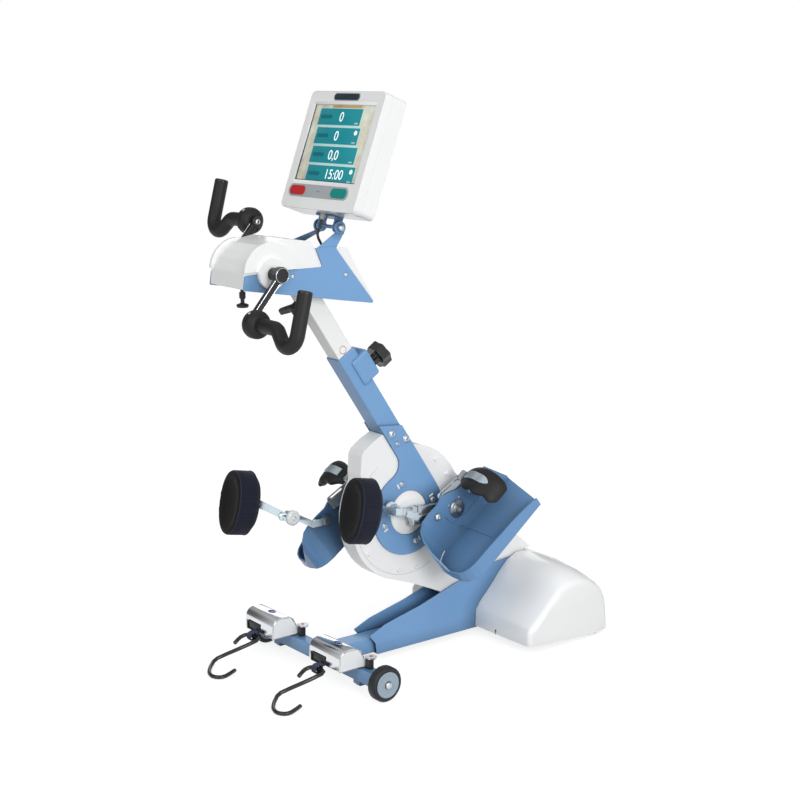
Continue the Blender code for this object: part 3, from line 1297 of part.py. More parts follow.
def build():
    front_frame()
    wheels()
    base_channel()
    rear_feet()
    rear_cover()
    lower_mast()
    mast_knob()
    upper_mast()
    side_plates()
    leg_case()
    leg_drive()
    leg_cranks()
    foot_shells()
    reels()
    arm_plates()
    arm_housing()
    arm_drive()
    arm_cranks()
    handles()
    lock_plunger()
    wing_knob()
    monitor()
    monitor_cable()


build()
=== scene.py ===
"""Looks of the active passive trainer: finishes, soft pads, straps, display and small fittings.

Metres, in the CAD's frame: +X the user's right, +Y away from the user, +Z up.
"""
import json
import math

import bmesh
import bpy
from mathutils import Matrix, Vector
from mathutils.bvhtree import BVHTree


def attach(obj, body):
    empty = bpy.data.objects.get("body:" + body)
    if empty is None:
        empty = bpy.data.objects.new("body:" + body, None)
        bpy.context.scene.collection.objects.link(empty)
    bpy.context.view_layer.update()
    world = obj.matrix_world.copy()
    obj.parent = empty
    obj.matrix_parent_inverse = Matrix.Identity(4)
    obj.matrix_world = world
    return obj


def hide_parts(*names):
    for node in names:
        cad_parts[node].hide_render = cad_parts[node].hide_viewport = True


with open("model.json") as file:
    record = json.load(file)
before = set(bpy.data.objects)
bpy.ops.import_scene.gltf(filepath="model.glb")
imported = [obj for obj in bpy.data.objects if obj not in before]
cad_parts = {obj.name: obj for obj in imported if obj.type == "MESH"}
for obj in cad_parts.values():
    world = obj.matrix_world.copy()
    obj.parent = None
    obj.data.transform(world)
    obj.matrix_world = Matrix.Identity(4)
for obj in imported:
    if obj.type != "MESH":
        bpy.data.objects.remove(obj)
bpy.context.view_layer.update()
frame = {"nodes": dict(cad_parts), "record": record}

# Camera, fitted to the photograph
CAMERA_PLACE = Vector((2.624, -2.0358, 1.250))
CAMERA_AIM = Vector((-0.7721, 0.6032, -0.2001))
FOCAL_PIXELS = 1560.6
FRAME_PIXELS = 800
SENSOR = 36.0

# Light
WHITE = (1, 1, 1, 1)
BLACK = (0, 0, 0, 1)
FLOOR_GREY = (0.34, 0.34, 0.34, 1)
FLOOR_GLOW = 0.80
AIR_LOW = 0.22
AIR_HIGH = 0.88
BRIGHT_SIDE = (0.82, -0.50, 0.26)
UNLIT_SIDE = (-0.86, -0.42, 0.29)
GLOSSY_SHARE = 0.08
LIT_POINT = Vector((0, 0, 0.55))
SOFTBOXES = [("side_softbox", (3.6, -0.7, 1.5), 1.8, 62), ("key_softbox", (0.8, -3.4, 2.8), 2.2, 30),
             ("top_softbox", (-0.4, 0.6, 4.0), 2.6, 4), ("rear_softbox", (-3.0, 2.4, 2.0), 2.0, 14)]

# Joint lines and places of the CAD model, near side 1 and far side -1
SIDES = {1: "near", -1: "far"}
OUT = {side: Vector((side, 0, 0)) for side in SIDES}
AXLE_Y = -0.1983039
AXLE = Vector((0, AXLE_Y, 0))
WHEEL_RADIUS = 0.0375
LEG_AXIS = Vector((0, 0.0166961, 0.322))
ARM_AXIS = Vector((0, -0.3578039, 0.880))
MONITOR_HINGE = Vector((0, -0.1703039, 0.9575))
PEDAL = {1: Vector((0, 0.116676, 0.324007)), -1: Vector((0, -0.0832838, 0.319993))}
PAD_PLACE = {1: Vector((0.112, -0.201347, 0.3815)), -1: Vector((-0.112, -0.356307, 0.377486))}
HANDLE_AXIS = {1: Vector((0, -0.430696, 0.793131)), -1: Vector((0, -0.284912, 0.966869))}
REEL_LEFT = {1: 0.042, -1: -0.207}
LEVER_PLACE = {1: Vector((0.164, -0.1943039, 0.0728)), -1: Vector((-0.085, -0.1943039, 0.0728))}

shift = Matrix.Translation


def rotate(axis, degrees):
    """A turn about an axis."""
    return Matrix.Rotation(math.radians(degrees), 4, axis)


def outward(side):
    """A turn that points local Z away from the middle, on the side given."""
    return rotate("Y", 90 * side)


def turned_frame(place, tilt):
    """A frame at a place, turned about X by an angle in degrees."""
    return shift(place) @ rotate("X", tilt)


MONITOR_FRAME = turned_frame(MONITOR_HINGE, -20.2)
ARM_CRANK_FRAME = turned_frame(ARM_AXIS, 50)
FOOT_TILT = 38
FOOT_FRAME = {side: turned_frame(PEDAL[side], FOOT_TILT) for side in SIDES}
PAD_FRAME = {side: turned_frame(PAD_PLACE[side], -11) for side in SIDES}


# Shader nodes

def feed(tree, socket, source):
    """Gives a socket a value, or a link from another node's socket."""
    if isinstance(source, bpy.types.NodeSocket):
        tree.links.new(source, socket)
    else:
        socket.default_value = source


def add(tree, kind, inputs=None, **settings):
    """A new shader node with its settings and inputs."""
    node = tree.nodes.new("ShaderNode" + kind)
    for label, value in settings.items():
        setattr(node, label, value)
    for label, source in (inputs or {}).items():
        feed(tree, node.inputs[label], source)
    return node


def calculated(tree, operation, first, second):
    return add(tree, "Math", {0: first, 1: second}, operation=operation).outputs[0]


def times(tree, first, second):
    return calculated(tree, "MULTIPLY", first, second)


def largest(tree, first, second):
    return calculated(tree, "MAXIMUM", first, second)


def facing_level(tree, direction, target, start, end, low=0.0, high=1.0):
    """A level that runs from low to high as the dot product of two directions runs from start to end."""
    dot = add(tree, "VectorMath", {0: direction, 1: target}, operation="DOT_PRODUCT").outputs["Value"]
    return add(tree, "MapRange", {"Value": dot, "From Min": start, "From Max": end, "To Min": low,
                                  "To Max": high}).outputs["Result"]


# Camera, floor and light

def linked(name, data):
    """A new object in the scene."""
    item = bpy.data.objects.new(name, data)
    bpy.context.scene.collection.objects.link(item)
    return item


def aim_camera():
    """The photograph's camera."""
    data = bpy.data.cameras.new("photo_camera")
    camera = linked("photo_camera", data)
    camera.location = CAMERA_PLACE
    camera.rotation_euler = CAMERA_AIM.to_track_quat("-Z", "Y").to_euler()
    data.sensor_width = SENSOR
    data.lens = FOCAL_PIXELS * SENSOR / FRAME_PIXELS
    data.clip_end = 60
    bpy.context.scene.camera = camera
    return camera


def lay_floor():
    """A matt grey floor that is plain white for camera, glossy and see-through rays."""
    shape = bmesh.new()
    bmesh.ops.create_circle(shape, cap_ends=True, segments=96, radius=14)
    data = bpy.data.meshes.new("studio_floor")
    shape.to_mesh(data)
    shape.free()
    floor = linked("studio_floor", data)
    material = bpy.data.materials.new("pale_floor")
    material.use_nodes = True
    tree = material.node_tree
    tree.nodes.clear()
    rays = add(tree, "LightPath").outputs
    seen = largest(tree, largest(tree, rays["Is Camera Ray"], rays["Is Glossy Ray"]), rays["Is Transmission Ray"])
    matt = add(tree, "BsdfDiffuse", {"Color": FLOOR_GREY})
    glow = add(tree, "Emission", {"Color": WHITE, "Strength": times(tree, seen, FLOOR_GLOW)})
    both = add(tree, "AddShader", {0: matt.outputs[0], 1: glow.outputs[0]})
    add(tree, "OutputMaterial", {"Surface": both.outputs[0]})
    data.materials.append(material)


def light_room():
    """Soft air, brightest on the user's right, plain white where it is seen, and four softboxes."""
    world = bpy.data.worlds.new("studio_air")
    bpy.context.scene.world = world
    world.use_nodes = True
    tree = world.node_tree
    tree.nodes.clear()
    direction = add(tree, "TexCoord").outputs["Generated"]
    level = facing_level(tree, direction, BRIGHT_SIDE, -0.9, 0.9, AIR_LOW, AIR_HIGH)
    unlit = facing_level(tree, direction, UNLIT_SIDE, 0.84, 0.97, 1.0, 0.10)
    air = add(tree, "Background", {"Color": WHITE, "Strength": times(tree, level, unlit)})
    seen = add(tree, "Background", {"Color": WHITE, "Strength": 1.0})
    rays = add(tree, "LightPath").outputs
    share = largest(tree, largest(tree, rays["Is Camera Ray"], rays["Is Transmission Ray"]),
                    times(tree, rays["Is Glossy Ray"], GLOSSY_SHARE))
    both = add(tree, "MixShader", {"Fac": share, 1: air.outputs[0], 2: seen.outputs[0]})
    add(tree, "OutputWorld", {"Surface": both.outputs[0]})
    for name, place, size, power in SOFTBOXES:
        data = bpy.data.lights.new(name, "AREA")
        data.shape = "DISK"
        data.size = size
        data.energy = power
        lamp = linked(name, data)
        lamp.location = place
        lamp.rotation_euler = (LIT_POINT - Vector(place)).to_track_quat("-Z", "Y").to_euler()


bpy.context.scene.view_settings.view_transform = "Standard"
CAMERA = aim_camera()
lay_floor()
light_room()


# Shader groups that several finishes share

SURFACE = [("Colour", "Color"), ("Roughness", "Float"), ("Height", "Float")]
TWO_COLOURS = [("Colour", "Color", WHITE), ("Shade", "Color", WHITE)]


def group(name, inputs, outputs):
    """A node group: its tree, its inputs as sockets to take from, and its outputs as sockets to feed."""
    tree = bpy.data.node_groups.new(name, "ShaderNodeTree")
    for label, kind, value in inputs:
        socket = tree.interface.new_socket(label, in_out="INPUT", socket_type="NodeSocket" + kind)
        socket.default_value = value
    for label, kind in outputs:
        tree.interface.new_socket(label, in_out="OUTPUT", socket_type="NodeSocket" + kind)
    return tree, tree.nodes.new("NodeGroupInput").outputs, tree.nodes.new("NodeGroupOutput").inputs


def object_place(tree):
    """The point on a piece, in the CAD's frame."""
    return add(tree, "TexCoord").outputs["Object"]


def ranged(tree, value, low, high):
    """Maps 0..1 of a value to two other sockets or numbers."""
    return add(tree, "MapRange", {"Value": value, "To Min": low, "To Max": high}).outputs["Result"]


def mixed(tree, share, first, second):
    """A blend of two colours."""
    return add(tree, "Mix", {"Factor": share, "A": first, "B": second}, data_type="RGBA").outputs["Result"]


def noise(tree, place, scale, detail, rough=0.55):
    """A soft noise of 0..1 over a place."""
    return add(tree, "TexNoise", {"Detail": detail, "Roughness": rough, "Vector": place,
                                  "Scale": scale}).outputs["Fac"]


def give_surface(tree, given, result, share, rough, height):
    """The outputs of a group: a colour and a roughness between its limits, and a height."""
    feed(tree, result["Colour"], mixed(tree, share, given["Colour"], given["Shade"]))
    feed(tree, result["Roughness"], ranged(tree, *rough))
    feed(tree, result["Height"], height)
    return tree


def coated_group():
    """Paint or moulding: faint clouds of shade, fine peel, and patchy gloss."""
    tree, given, result = group("coated_surface", TWO_COLOURS + [
        ("Cloud Scale", "Float", 7.0), ("Grain Scale", "Float", 900.0), ("Low Roughness", "Float", 0.3),
        ("High Roughness", "Float", 0.4)], SURFACE)
    place = object_place(tree)
    share = ranged(tree, noise(tree, place, given["Cloud Scale"], 4), -0.35, 1.25)
    scuffs = noise(tree, place, 46.0, 5, 0.65)
    return give_surface(tree, given, result, share, (scuffs, given["Low Roughness"], given["High Roughness"]),
                        noise(tree, place, given["Grain Scale"], 2))


def edge_group():
    """Where a surface turns sharply: a rubbed-edge mask and a slightly rounded normal."""
    tree, given, result = group("rubbed_edge", [("Strength", "Float", 1.0)],
                                [("Mask", "Float"), ("Normal", "Vector")])
    soft = add(tree, "Bevel", {"Radius": 0.0011}, samples=6).outputs["Normal"]
    true_normal = add(tree, "NewGeometry").outputs["Normal"]
    turn = facing_level(tree, soft, true_normal, 0.995, 0.86)
    patches = ranged(tree, noise(tree, object_place(tree), 60.0, 4), 0.1, 1.0)
    feed(tree, result["Mask"], times(tree, times(tree, turn, patches), given["Strength"]))
    feed(tree, result["Normal"], soft)
    return tree


def drawn_metal_group():
    """Fine drawing lines and dull patches of plated or brushed metal."""
    tree, given, result = group("drawn_metal", TWO_COLOURS + [
        ("Stretch", "Vector", (1, 30, 30)), ("Low Roughness", "Float", 0.2), ("High Roughness", "Float", 0.4)],
        SURFACE)
    place = object_place(tree)
    stretch = add(tree, "Mapping", {"Vector": place, "Scale": given["Stretch"]})
    lines = noise(tree, stretch.outputs["Vector"], 40.0, 4, 0.6)
    clouds = noise(tree, place, 55.0, 4, 0.6)
    blend = times(tree, lines, ranged(tree, clouds, 0.7, 1.3))
    return give_surface(tree, given, result, clouds, (blend, given["Low Roughness"], given["High Roughness"]), lines)


def weave_group():
    """Two crossing sets of threads, with a lighter crown on each thread."""
    tree, given, result = group("woven_cloth", [
        ("Thread", "Color", WHITE), ("Gap", "Color", BLACK), ("Threads", "Float", 520.0)],
        [("Colour", "Color"), ("Height", "Float")])
    place = object_place(tree)
    bands = [add(tree, "TexWave", {"Distortion": 0.35, "Vector": place, "Scale": given["Threads"]},
                 bands_direction=direction).outputs["Fac"] for direction in ("X", "Z")]
    crown = times(tree, *bands)
    fluff = ranged(tree, noise(tree, place, 260.0, 5, 0.7), 0.55, 1.25)
    height = times(tree, ranged(tree, crown, 0.25, 1.0), fluff)
    feed(tree, result["Colour"], mixed(tree, height, given["Gap"], given["Thread"]))
    feed(tree, result["Height"], height)
    return tree


def pore_group():
    """Closed-cell foam or moulded rubber: tiny pits and cloudy greying."""
    tree, given, result = group("fine_pores", [
        ("Colour", "Color", BLACK), ("Shade", "Color", BLACK), ("Pore Scale", "Float", 700.0)], SURFACE)
    place = object_place(tree)
    pits = add(tree, "TexVoronoi", {"Vector": place, "Scale": given["Pore Scale"]})
    clouds = noise(tree, place, 24.0, 5, 0.6)
    return give_surface(tree, given, result, clouds, (clouds, 0.42, 0.62), pits.outputs["Distance"])


COATED = coated_group()
EDGES = edge_group()
DRAWN = drawn_metal_group()
WOVEN = weave_group()
PORES = pore_group()


# Finishes

def new_finish(name, tree_group, values):
    """A material, its tree, its shader's inputs, and the outputs of the group that gives its surface."""
    material = bpy.data.materials.new(name)
    material.use_nodes = True
    tree = material.node_tree
    detail = add(tree, "Group", node_tree=tree_group)
    for label, value in values.items():
        socket = detail.inputs[label]
        socket.default_value = (*value, 1) if socket.type == "RGBA" else value
    return material, tree, tree.nodes["Principled BSDF"].inputs, detail.outputs


def take(tree, shader, detail, *labels):
    """Feeds the shader's sockets from the group's outputs; the colour goes to the base colour."""
    for label in labels:
        feed(tree, shader["Base Color" if label == "Colour" else label], detail[label])


def relief(tree, shader, height, strength, distance, normal=None):
    """Fine bumps from a height, over the shader's own normal or the one given."""
    bump = add(tree, "Bump", {"Strength": strength, "Distance": distance, "Height": height})
    if normal is not None:
        feed(tree, bump.inputs["Normal"], normal)
    feed(tree, shader["Normal"], bump.outputs["Normal"])


def coated_finish(name, colour, shade, rough, worn, wear=0.3, grain=900.0, peel=0.10, coat=0.0, shine=0.5,
                  deep=0.0):
    """Powder coat, gloss moulding or satin plastic, rubbed along its edges, with painted shade down in its hollows."""
    material, tree, shader, detail = new_finish(name, COATED, {
        "Colour": colour, "Shade": shade, "Grain Scale": grain, "Low Roughness": rough[0],
        "High Roughness": rough[1]})
    edge = add(tree, "Group", node_tree=EDGES)
    edge.inputs["Strength"].default_value = wear
    surface = mixed(tree, edge.outputs["Mask"], detail["Colour"], (*worn, 1))
    # Painted shade: ambient occlusion over the reach deep darkens the colour in hollows and corners.
    if deep:
        surface = add(tree, "AmbientOcclusion", {"Distance": deep, "Color": surface}, samples=8).outputs["Color"]
    feed(tree, shader["Base Color"], surface)
    take(tree, shader, detail, "Roughness")
    shader["Coat Weight"].default_value = coat
    shader["Coat Roughness"].default_value = 0.12
    shader["Specular IOR Level"].default_value = shine
    relief(tree, shader, detail["Height"], peel, 0.0004, edge.outputs["Normal"])
    return material


def metal_finish(name, colour, shade, rough, stretch=(1, 30, 30), depth=0.06):
    """Plated or brushed metal, with its drawing lines stretched along the axes by the factors given."""
    material, tree, shader, detail = new_finish(name, DRAWN, {
        "Colour": colour, "Shade": shade, "Stretch": stretch, "Low Roughness": rough[0],
        "High Roughness": rough[1]})
    edge = add(tree, "Group", node_tree=EDGES)
    take(tree, shader, detail, "Colour", "Roughness")
    shader["Metallic"].default_value = 1.0
    relief(tree, shader, detail["Height"], depth, 0.0003, edge.outputs["Normal"])
    return material


def cloth_finish(name, thread, gap, threads, depth=0.5):
    """Woven cloth, webbing or thread."""
    material, tree, shader, detail = new_finish(name, WOVEN, {"Thread": thread, "Gap": gap, "Threads": threads})
    take(tree, shader, detail, "Colour")
    shader["Roughness"].default_value = 0.88
    shader["Sheen Weight"].default_value = 0.08
    shader["Specular IOR Level"].default_value = 0.2
    shader["Sheen Roughness"].default_value = 0.5
    relief(tree, shader, detail["Height"], depth, 0.0008)
    return material


def foam_finish(name, colour, shade, pores, depth=0.18):
    """Foam or rubber with fine pores."""
    material, tree, shader, detail = new_finish(name, PORES, {"Colour": colour, "Shade": shade,
                                                              "Pore Scale": pores})
    take(tree, shader, detail, "Colour", "Roughness")
    shader["Specular IOR Level"].default_value = 0.28
    relief(tree, shader, detail["Height"], depth, 0.0006)
    return material


def lit_finish(name, colour, shade, glow):
    """A lit display area: faint clouds in the colour, and light of its own."""
    material, tree, shader, detail = new_finish(name, COATED, {
        "Colour": colour, "Shade": shade, "Cloud Scale": 30.0, "Low Roughness": 0.16, "High Roughness": 0.24})
    take(tree, shader, detail, "Colour", "Roughness")
    feed(tree, shader["Emission Color"], detail["Colour"])
    shader["Emission Strength"].default_value = glow
    return material


# Low and high roughness of several finishes
MATT = (0.5, 0.65)
SATIN = (0.35, 0.5)
SMOOTH = (0.14, 0.24)
KEY = (0.26, 0.38)
# Grain that runs no way in particular
EVEN = (9, 9, 9)
# Blue coat and blue shell: deep darkens their hollows with painted shade.
BLUE_COAT = coated_finish("blue_powder_coat", (0.188, 0.372, 0.650), (0.162, 0.338, 0.605), (0.30, 0.42),
                          (0.30, 0.44, 0.66), 0.30, 1300.0, 0.16, deep=0.05)
BLUE_SHELL = coated_finish("blue_moulded_shell", (0.145, 0.305, 0.555), (0.124, 0.275, 0.510), KEY,
                           (0.24, 0.40, 0.64), 0.35, 1500.0, 0.10, deep=0.14)
WHITE_SHELL = coated_finish("white_gloss_moulding", (0.885, 0.895, 0.895), (0.85, 0.86, 0.865), (0.16, 0.26),
                            (0.90, 0.90, 0.90), 0.2, 700.0, 0.03, 0.25)
WHITE_COAT = coated_finish("white_powder_coat", (0.90, 0.905, 0.905), (0.86, 0.865, 0.87), (0.28, 0.40),
                           (0.93, 0.93, 0.93), 0.2, 1300.0)
BLACK_PLASTIC = coated_finish("black_satin_plastic", (0.016, 0.016, 0.018), (0.026, 0.026, 0.029), (0.30, 0.46),
                              (0.09, 0.09, 0.10), 0.4, 1100.0, 0.14, shine=0.3)
BLACK_GLOSS = coated_finish("black_gloss_coat", (0.012, 0.012, 0.013), (0.022, 0.022, 0.024), SMOOTH,
                            (0.12, 0.12, 0.12), 0.35, 900.0, 0.05)
GREY_PLASTIC = coated_finish("grey_plastic", (0.32, 0.35, 0.37), (0.26, 0.29, 0.31), SATIN, (0.45, 0.47, 0.48))
GREY_STRIP = coated_finish("grey_key_strip", (0.42, 0.45, 0.47), (0.36, 0.39, 0.41), SATIN, (0.5, 0.52, 0.53))
PALE_PLASTIC = coated_finish("pale_knob_plastic", (0.70, 0.74, 0.74), (0.60, 0.64, 0.65), (0.18, 0.30),
                             (0.88, 0.88, 0.88), 0.3, 900.0, 0.05, 0.3)
DISC_GREY = coated_finish("wheel_disc_grey", (0.34, 0.42, 0.49), (0.28, 0.36, 0.43), SATIN, (0.48, 0.52, 0.56), 0.4)
RED_PLASTIC = coated_finish("red_key_plastic", (0.60, 0.028, 0.030), (0.50, 0.020, 0.024), KEY, (0.75, 0.18, 0.16))
TEAL_PLASTIC = coated_finish("teal_key_plastic", (0.008, 0.300, 0.270), (0.006, 0.250, 0.226), KEY,
                             (0.10, 0.46, 0.42))
DARK_BADGE = coated_finish("dark_badge", (0.022, 0.036, 0.052), (0.030, 0.048, 0.064), SMOOTH, (0.12, 0.14, 0.16))
BLUE_BADGE = coated_finish("blue_badge", (0.020, 0.050, 0.240), (0.028, 0.070, 0.300), SMOOTH, (0.10, 0.16, 0.40))
# Painted shade: a dark finish for slots and keyholes, standing in for the shade inside them.
PAINTED_HOLE_SHADE = coated_finish("seam_shadow", (0.060, 0.080, 0.110), (0.048, 0.064, 0.090), MATT, (0.08, 0.10, 0.13), 0.1)
SEAM_BLUE = coated_finish("shell_seam", (0.040, 0.100, 0.230), (0.032, 0.084, 0.200), MATT, (0.08, 0.16, 0.30), 0.1)
SEAM_PALE = coated_finish("case_seam", (0.56, 0.59, 0.61), (0.50, 0.53, 0.56), (0.4, 0.5), (0.7, 0.7, 0.7), 0.1)
STEEL = metal_finish("zinc_plated_steel", (0.62, 0.66, 0.68), (0.52, 0.57, 0.60), (0.22, 0.46))
BLUE_STEEL = metal_finish("pale_plated_sleeve", (0.62, 0.72, 0.78), (0.54, 0.64, 0.71), (0.18, 0.36))
CHROME = metal_finish("polished_chrome", (0.78, 0.80, 0.82), (0.70, 0.72, 0.74), (0.10, 0.20), (0.5, 8, 8), 0.006)
DARK_STEEL = metal_finish("dark_washer_steel", (0.26, 0.29, 0.31), (0.18, 0.20, 0.22), (0.26, 0.42), EVEN)
BOLT_STEEL = metal_finish("turned_bolt_steel", (0.68, 0.70, 0.72), (0.54, 0.56, 0.58), (0.24, 0.42), EVEN)
FOAM = foam_finish("grip_foam", (0.009, 0.009, 0.010), (0.018, 0.018, 0.020), 950.0)
TYRE = foam_finish("tyre_rubber", (0.014, 0.016, 0.019), (0.028, 0.031, 0.036), 800.0)
FOOT_RUBBER = foam_finish("foot_rubber", (0.018, 0.018, 0.018), (0.034, 0.034, 0.034), 700.0)
CLAW_RUBBER = foam_finish("claw_rubber", (0.009, 0.009, 0.010), (0.018, 0.018, 0.020), 1200.0, 0.10)
NAVY_CLOTH = cloth_finish("navy_band_cloth", (0.014, 0.017, 0.036), (0.006, 0.007, 0.015), 300.0)
PAD_CLOTH = cloth_finish("black_pad_cloth", (0.012, 0.012, 0.014), (0.004, 0.004, 0.005), 360.0)
STRAP_CLOTH = cloth_finish("navy_webbing", (0.085, 0.105, 0.200), (0.024, 0.030, 0.066), 420.0, 0.8)
THREAD = cloth_finish("sewing_thread", (0.040, 0.044, 0.070), (0.014, 0.015, 0.025), 800.0)
TEAL_LIGHT = lit_finish("teal_display_row", (0.012, 0.235, 0.270), (0.008, 0.200, 0.240), 0.32)
SAND_LIGHT = lit_finish("sand_display_border", (0.66, 0.76, 0.68), (0.42, 0.26, 0.12), 0.27)
PALE_LIGHT = lit_finish("pale_display_line", (0.48, 0.66, 0.64), (0.36, 0.56, 0.56), 0.30)
TAN_LIGHT = lit_finish("tan_display_bar", (0.52, 0.34, 0.16), (0.42, 0.25, 0.10), 0.28)
DEEP_LIGHT = lit_finish("deep_display_label", (0.006, 0.140, 0.175), (0.005, 0.120, 0.150), 0.26)
WHITE_LIGHT = lit_finish("white_display_digit", (0.88, 0.94, 0.94), (0.80, 0.90, 0.90), 0.45)

# CAD nodes by finish; "*" stands for near and far.
FINISH_NODES = [
    (BLUE_COAT, "front_frame base_channel lower_mast *_side_plate *_arm_plate monitor_bracket"),
    (BLUE_SHELL, "*_foot_shell"),
    (WHITE_SHELL, "rear_cover *_leg_case rear_leg_case *_reel_cap arm_housing monitor_front monitor_back"),
    (WHITE_COAT, "upper_mast"),
    (BLACK_GLOSS, "mast_knob wing_knob *_hook *_arm_crank"),
    (BLACK_PLASTIC, "lock_plunger leg_motor arm_motor monitor_cable"),
    (CLAW_RUBBER, "*_foot_clamp"),
    (FOAM, "*_handle"),
    (FOOT_RUBBER, "leg_drive_belt *_rear_foot"),
    (TYRE, "*_wheel"),
    (BOLT_STEEL, "wheel_axle *_reel_lever"),
    (STEEL, "leg_crank_shaft *_leg_crank leg_motor_pulley *_clamp_bar arm_crank_shaft"),
    (BLUE_STEEL, "*_calf_arm"),
    (CHROME, "*_reel"),
    (PAD_CLOTH, "*_calf_pad"),
    (STRAP_CLOTH, "*_webbing"),
    (DARK_BADGE, "monitor_screen"),
    (RED_PLASTIC, "stop_button"),
    (TEAL_PLASTIC, "start_button"),
]
NODE_FINISH = {pattern.replace("*", label): finish for finish, patterns in FINISH_NODES
               for pattern in patterns.split() for label in SIDES.values()}
for node_name, node_object in frame["nodes"].items():
    node_finish = NODE_FINISH[node_name]
    if not node_object.data.materials:
        node_object.data.materials.append(node_finish)
    for material_slot in node_object.material_slots:
        material_slot.material = node_finish


# Making and placing pieces

MERGE = 1e-6


def settle(shape, name, material, body, place=Matrix.Identity(4), smooth=40):
    """Turns a bmesh into a finished piece that rides on a body."""
    bmesh.ops.transform(shape, matrix=place, verts=shape.verts)
    bmesh.ops.recalc_face_normals(shape, faces=shape.faces)
    data = bpy.data.meshes.new(name)
    shape.to_mesh(data)
    shape.free()
    piece = linked(name, data)
    data.materials.append(material)
    data.shade_smooth()
    data.set_sharp_from_angle(angle=math.radians(smooth))
    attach(piece, body)
    return piece


def worked_out(item):
    """A mesh of an object as it is after its modifiers, or of a curve or text."""
    return bpy.data.meshes.new_from_object(item.evaluated_get(bpy.context.evaluated_depsgraph_get()))


def curve_shape(name, data, merge):
    """The solid shape of a curve or text."""
    helper = linked(name, data)
    bpy.context.view_layer.update()
    made = worked_out(helper)
    bpy.data.objects.remove(helper)
    shape = bmesh.new()
    shape.from_mesh(made)
    bpy.data.meshes.remove(made)
    bmesh.ops.remove_doubles(shape, verts=shape.verts, dist=merge)
    return shape


def soften(shape, width, edges=None):
    """Rounds the edges given, or all edges."""
    bmesh.ops.bevel(shape, geom=list(edges or shape.edges), offset=width, offset_type="OFFSET", segments=2,
                    profile=0.5, affect="EDGES", clamp_overlap=True, material=-1)


def closed_line(shape, points):
    """New vertices at the points, and the edges of the closed line through them."""
    corners = [shape.verts.new(point) for point in points]
    return [shape.edges.new(pair) for pair in zip(corners, corners[1:] + corners[:1])]


def bridged(shape, loops):
    """Joins each loop of edges to the next one with faces."""
    for one, two in zip(loops, loops[1:]):
        bmesh.ops.bridge_loops(shape, edges=one + two)


def draw_out(shape, faces, vector):
    """Gives faces a thickness along a vector."""
    grown = bmesh.ops.extrude_face_region(shape, geom=faces)["geom"]
    bmesh.ops.translate(shape, vec=vector, verts=[g for g in grown if isinstance(g, bmesh.types.BMVert)])


def block(low, high, edge):
    """A box between two corners, with softened edges."""
    shape = bmesh.new()
    bmesh.ops.create_cube(shape, size=1)
    bmesh.ops.scale(shape, vec=[b - a for a, b in zip(low, high)], verts=shape.verts)
    bmesh.ops.translate(shape, vec=[(a + b) / 2 for a, b in zip(low, high)], verts=shape.verts)
    soften(shape, edge)
    return shape


def side_block(side, low, high, edge):
    """A box given for the near side, mirrored when it is for the far one."""
    left, right = sorted((side * low[0], side * high[0]))
    return block((left, *low[1:]), (right, *high[1:]), edge)


def turned(profile, steps, closed=False):
    """Spins a profile of (radius, height) points round Z into a solid, or a closed profile into a ring."""
    shape = bmesh.new()
    points = [shape.verts.new((radius, 0, height)) for radius, height in profile]
    after = points[1:] + points[:1] if closed else points[1:]
    lines = [shape.edges.new(pair) for pair in zip(points, after)]
    bmesh.ops.spin(shape, geom=points + lines, cent=(0, 0, 0), axis=(0, 0, 1), angle=2 * math.pi, steps=steps,
                   use_merge=True)
    bmesh.ops.remove_doubles(shape, verts=shape.verts, dist=MERGE)
    return shape


def slab(outline, thickness, edge=0.0):
    """A flat outline of (x, y) points drawn up along Z, with its upper rim softened."""
    shape = bmesh.new()
    face = shape.faces.new([shape.verts.new((x, y, 0)) for x, y in outline])
    draw_out(shape, [face], (0, 0, thickness))
    if edge:
        soften(shape, edge, [e for e in shape.edges if all(v.co.z > thickness * 0.5 for v in e.verts)])
    return shape


def framed(outer, inner, thickness):
    """A flat frame between two outlines of equal point counts."""
    shape = bmesh.new()
    rims = [closed_line(shape, [(x, y, 0) for x, y in outline]) for outline in (outer, inner)]
    draw_out(shape, bmesh.ops.bridge_loops(shape, edges=rims[0] + rims[1])["faces"], (0, 0, thickness))
    return shape


def pierced(outlines, thickness, normal=(0, 0, 1)):
    """A flat outline with holes, given as lines of points, and drawn out along its normal."""
    shape = bmesh.new()
    rims = [edge for outline in outlines for edge in closed_line(shape, outline)]
    bmesh.ops.triangle_fill(shape, use_beauty=True, edges=rims, normal=normal)
    draw_out(shape, list(shape.faces), Vector(normal) * thickness)
    return shape


def rectangle(low, high):
    """Corners of a rectangle, from its lowest and highest ones."""
    return [low, (high[0], low[1]), high, (low[0], high[1])]


def arc(radius, first, last, steps):
    """Points (a, b) of an arc between two angles in degrees, with its two ends."""
    angles = [math.radians(first + (last - first) * step / steps) for step in range(steps + 1)]
    return [(radius * math.cos(angle), radius * math.sin(angle)) for angle in angles]


def pill(half_long, half_wide, steps=12):
    """A stadium outline along X."""
    middle = half_long - half_wide
    return ([(x + middle, y) for x, y in arc(half_wide, -90, 90, steps)]
            + [(x - middle, y) for x, y in arc(half_wide, 90, 270, steps)])


def oval(half_long, half_wide, steps=40):
    return [(half_long * math.cos(2 * math.pi * step / steps), half_wide * math.sin(2 * math.pi * step / steps))
            for step in range(steps)]


def rod(points, radius, name, material, body, steps=3):
    """A round bar or raised line through points, as a mesh."""
    data = bpy.data.curves.new(name, "CURVE")
    data.dimensions = "3D"
    data.bevel_depth = radius
    data.bevel_resolution = steps
    data.use_fill_caps = True
    line = data.splines.new("POLY")
    line.points.add(len(points) - 1)
    for point, place in zip(line.points, points):
        point.co = (*place, 1)
    return settle(curve_shape(name + "_line", data, MERGE), name, material, body)


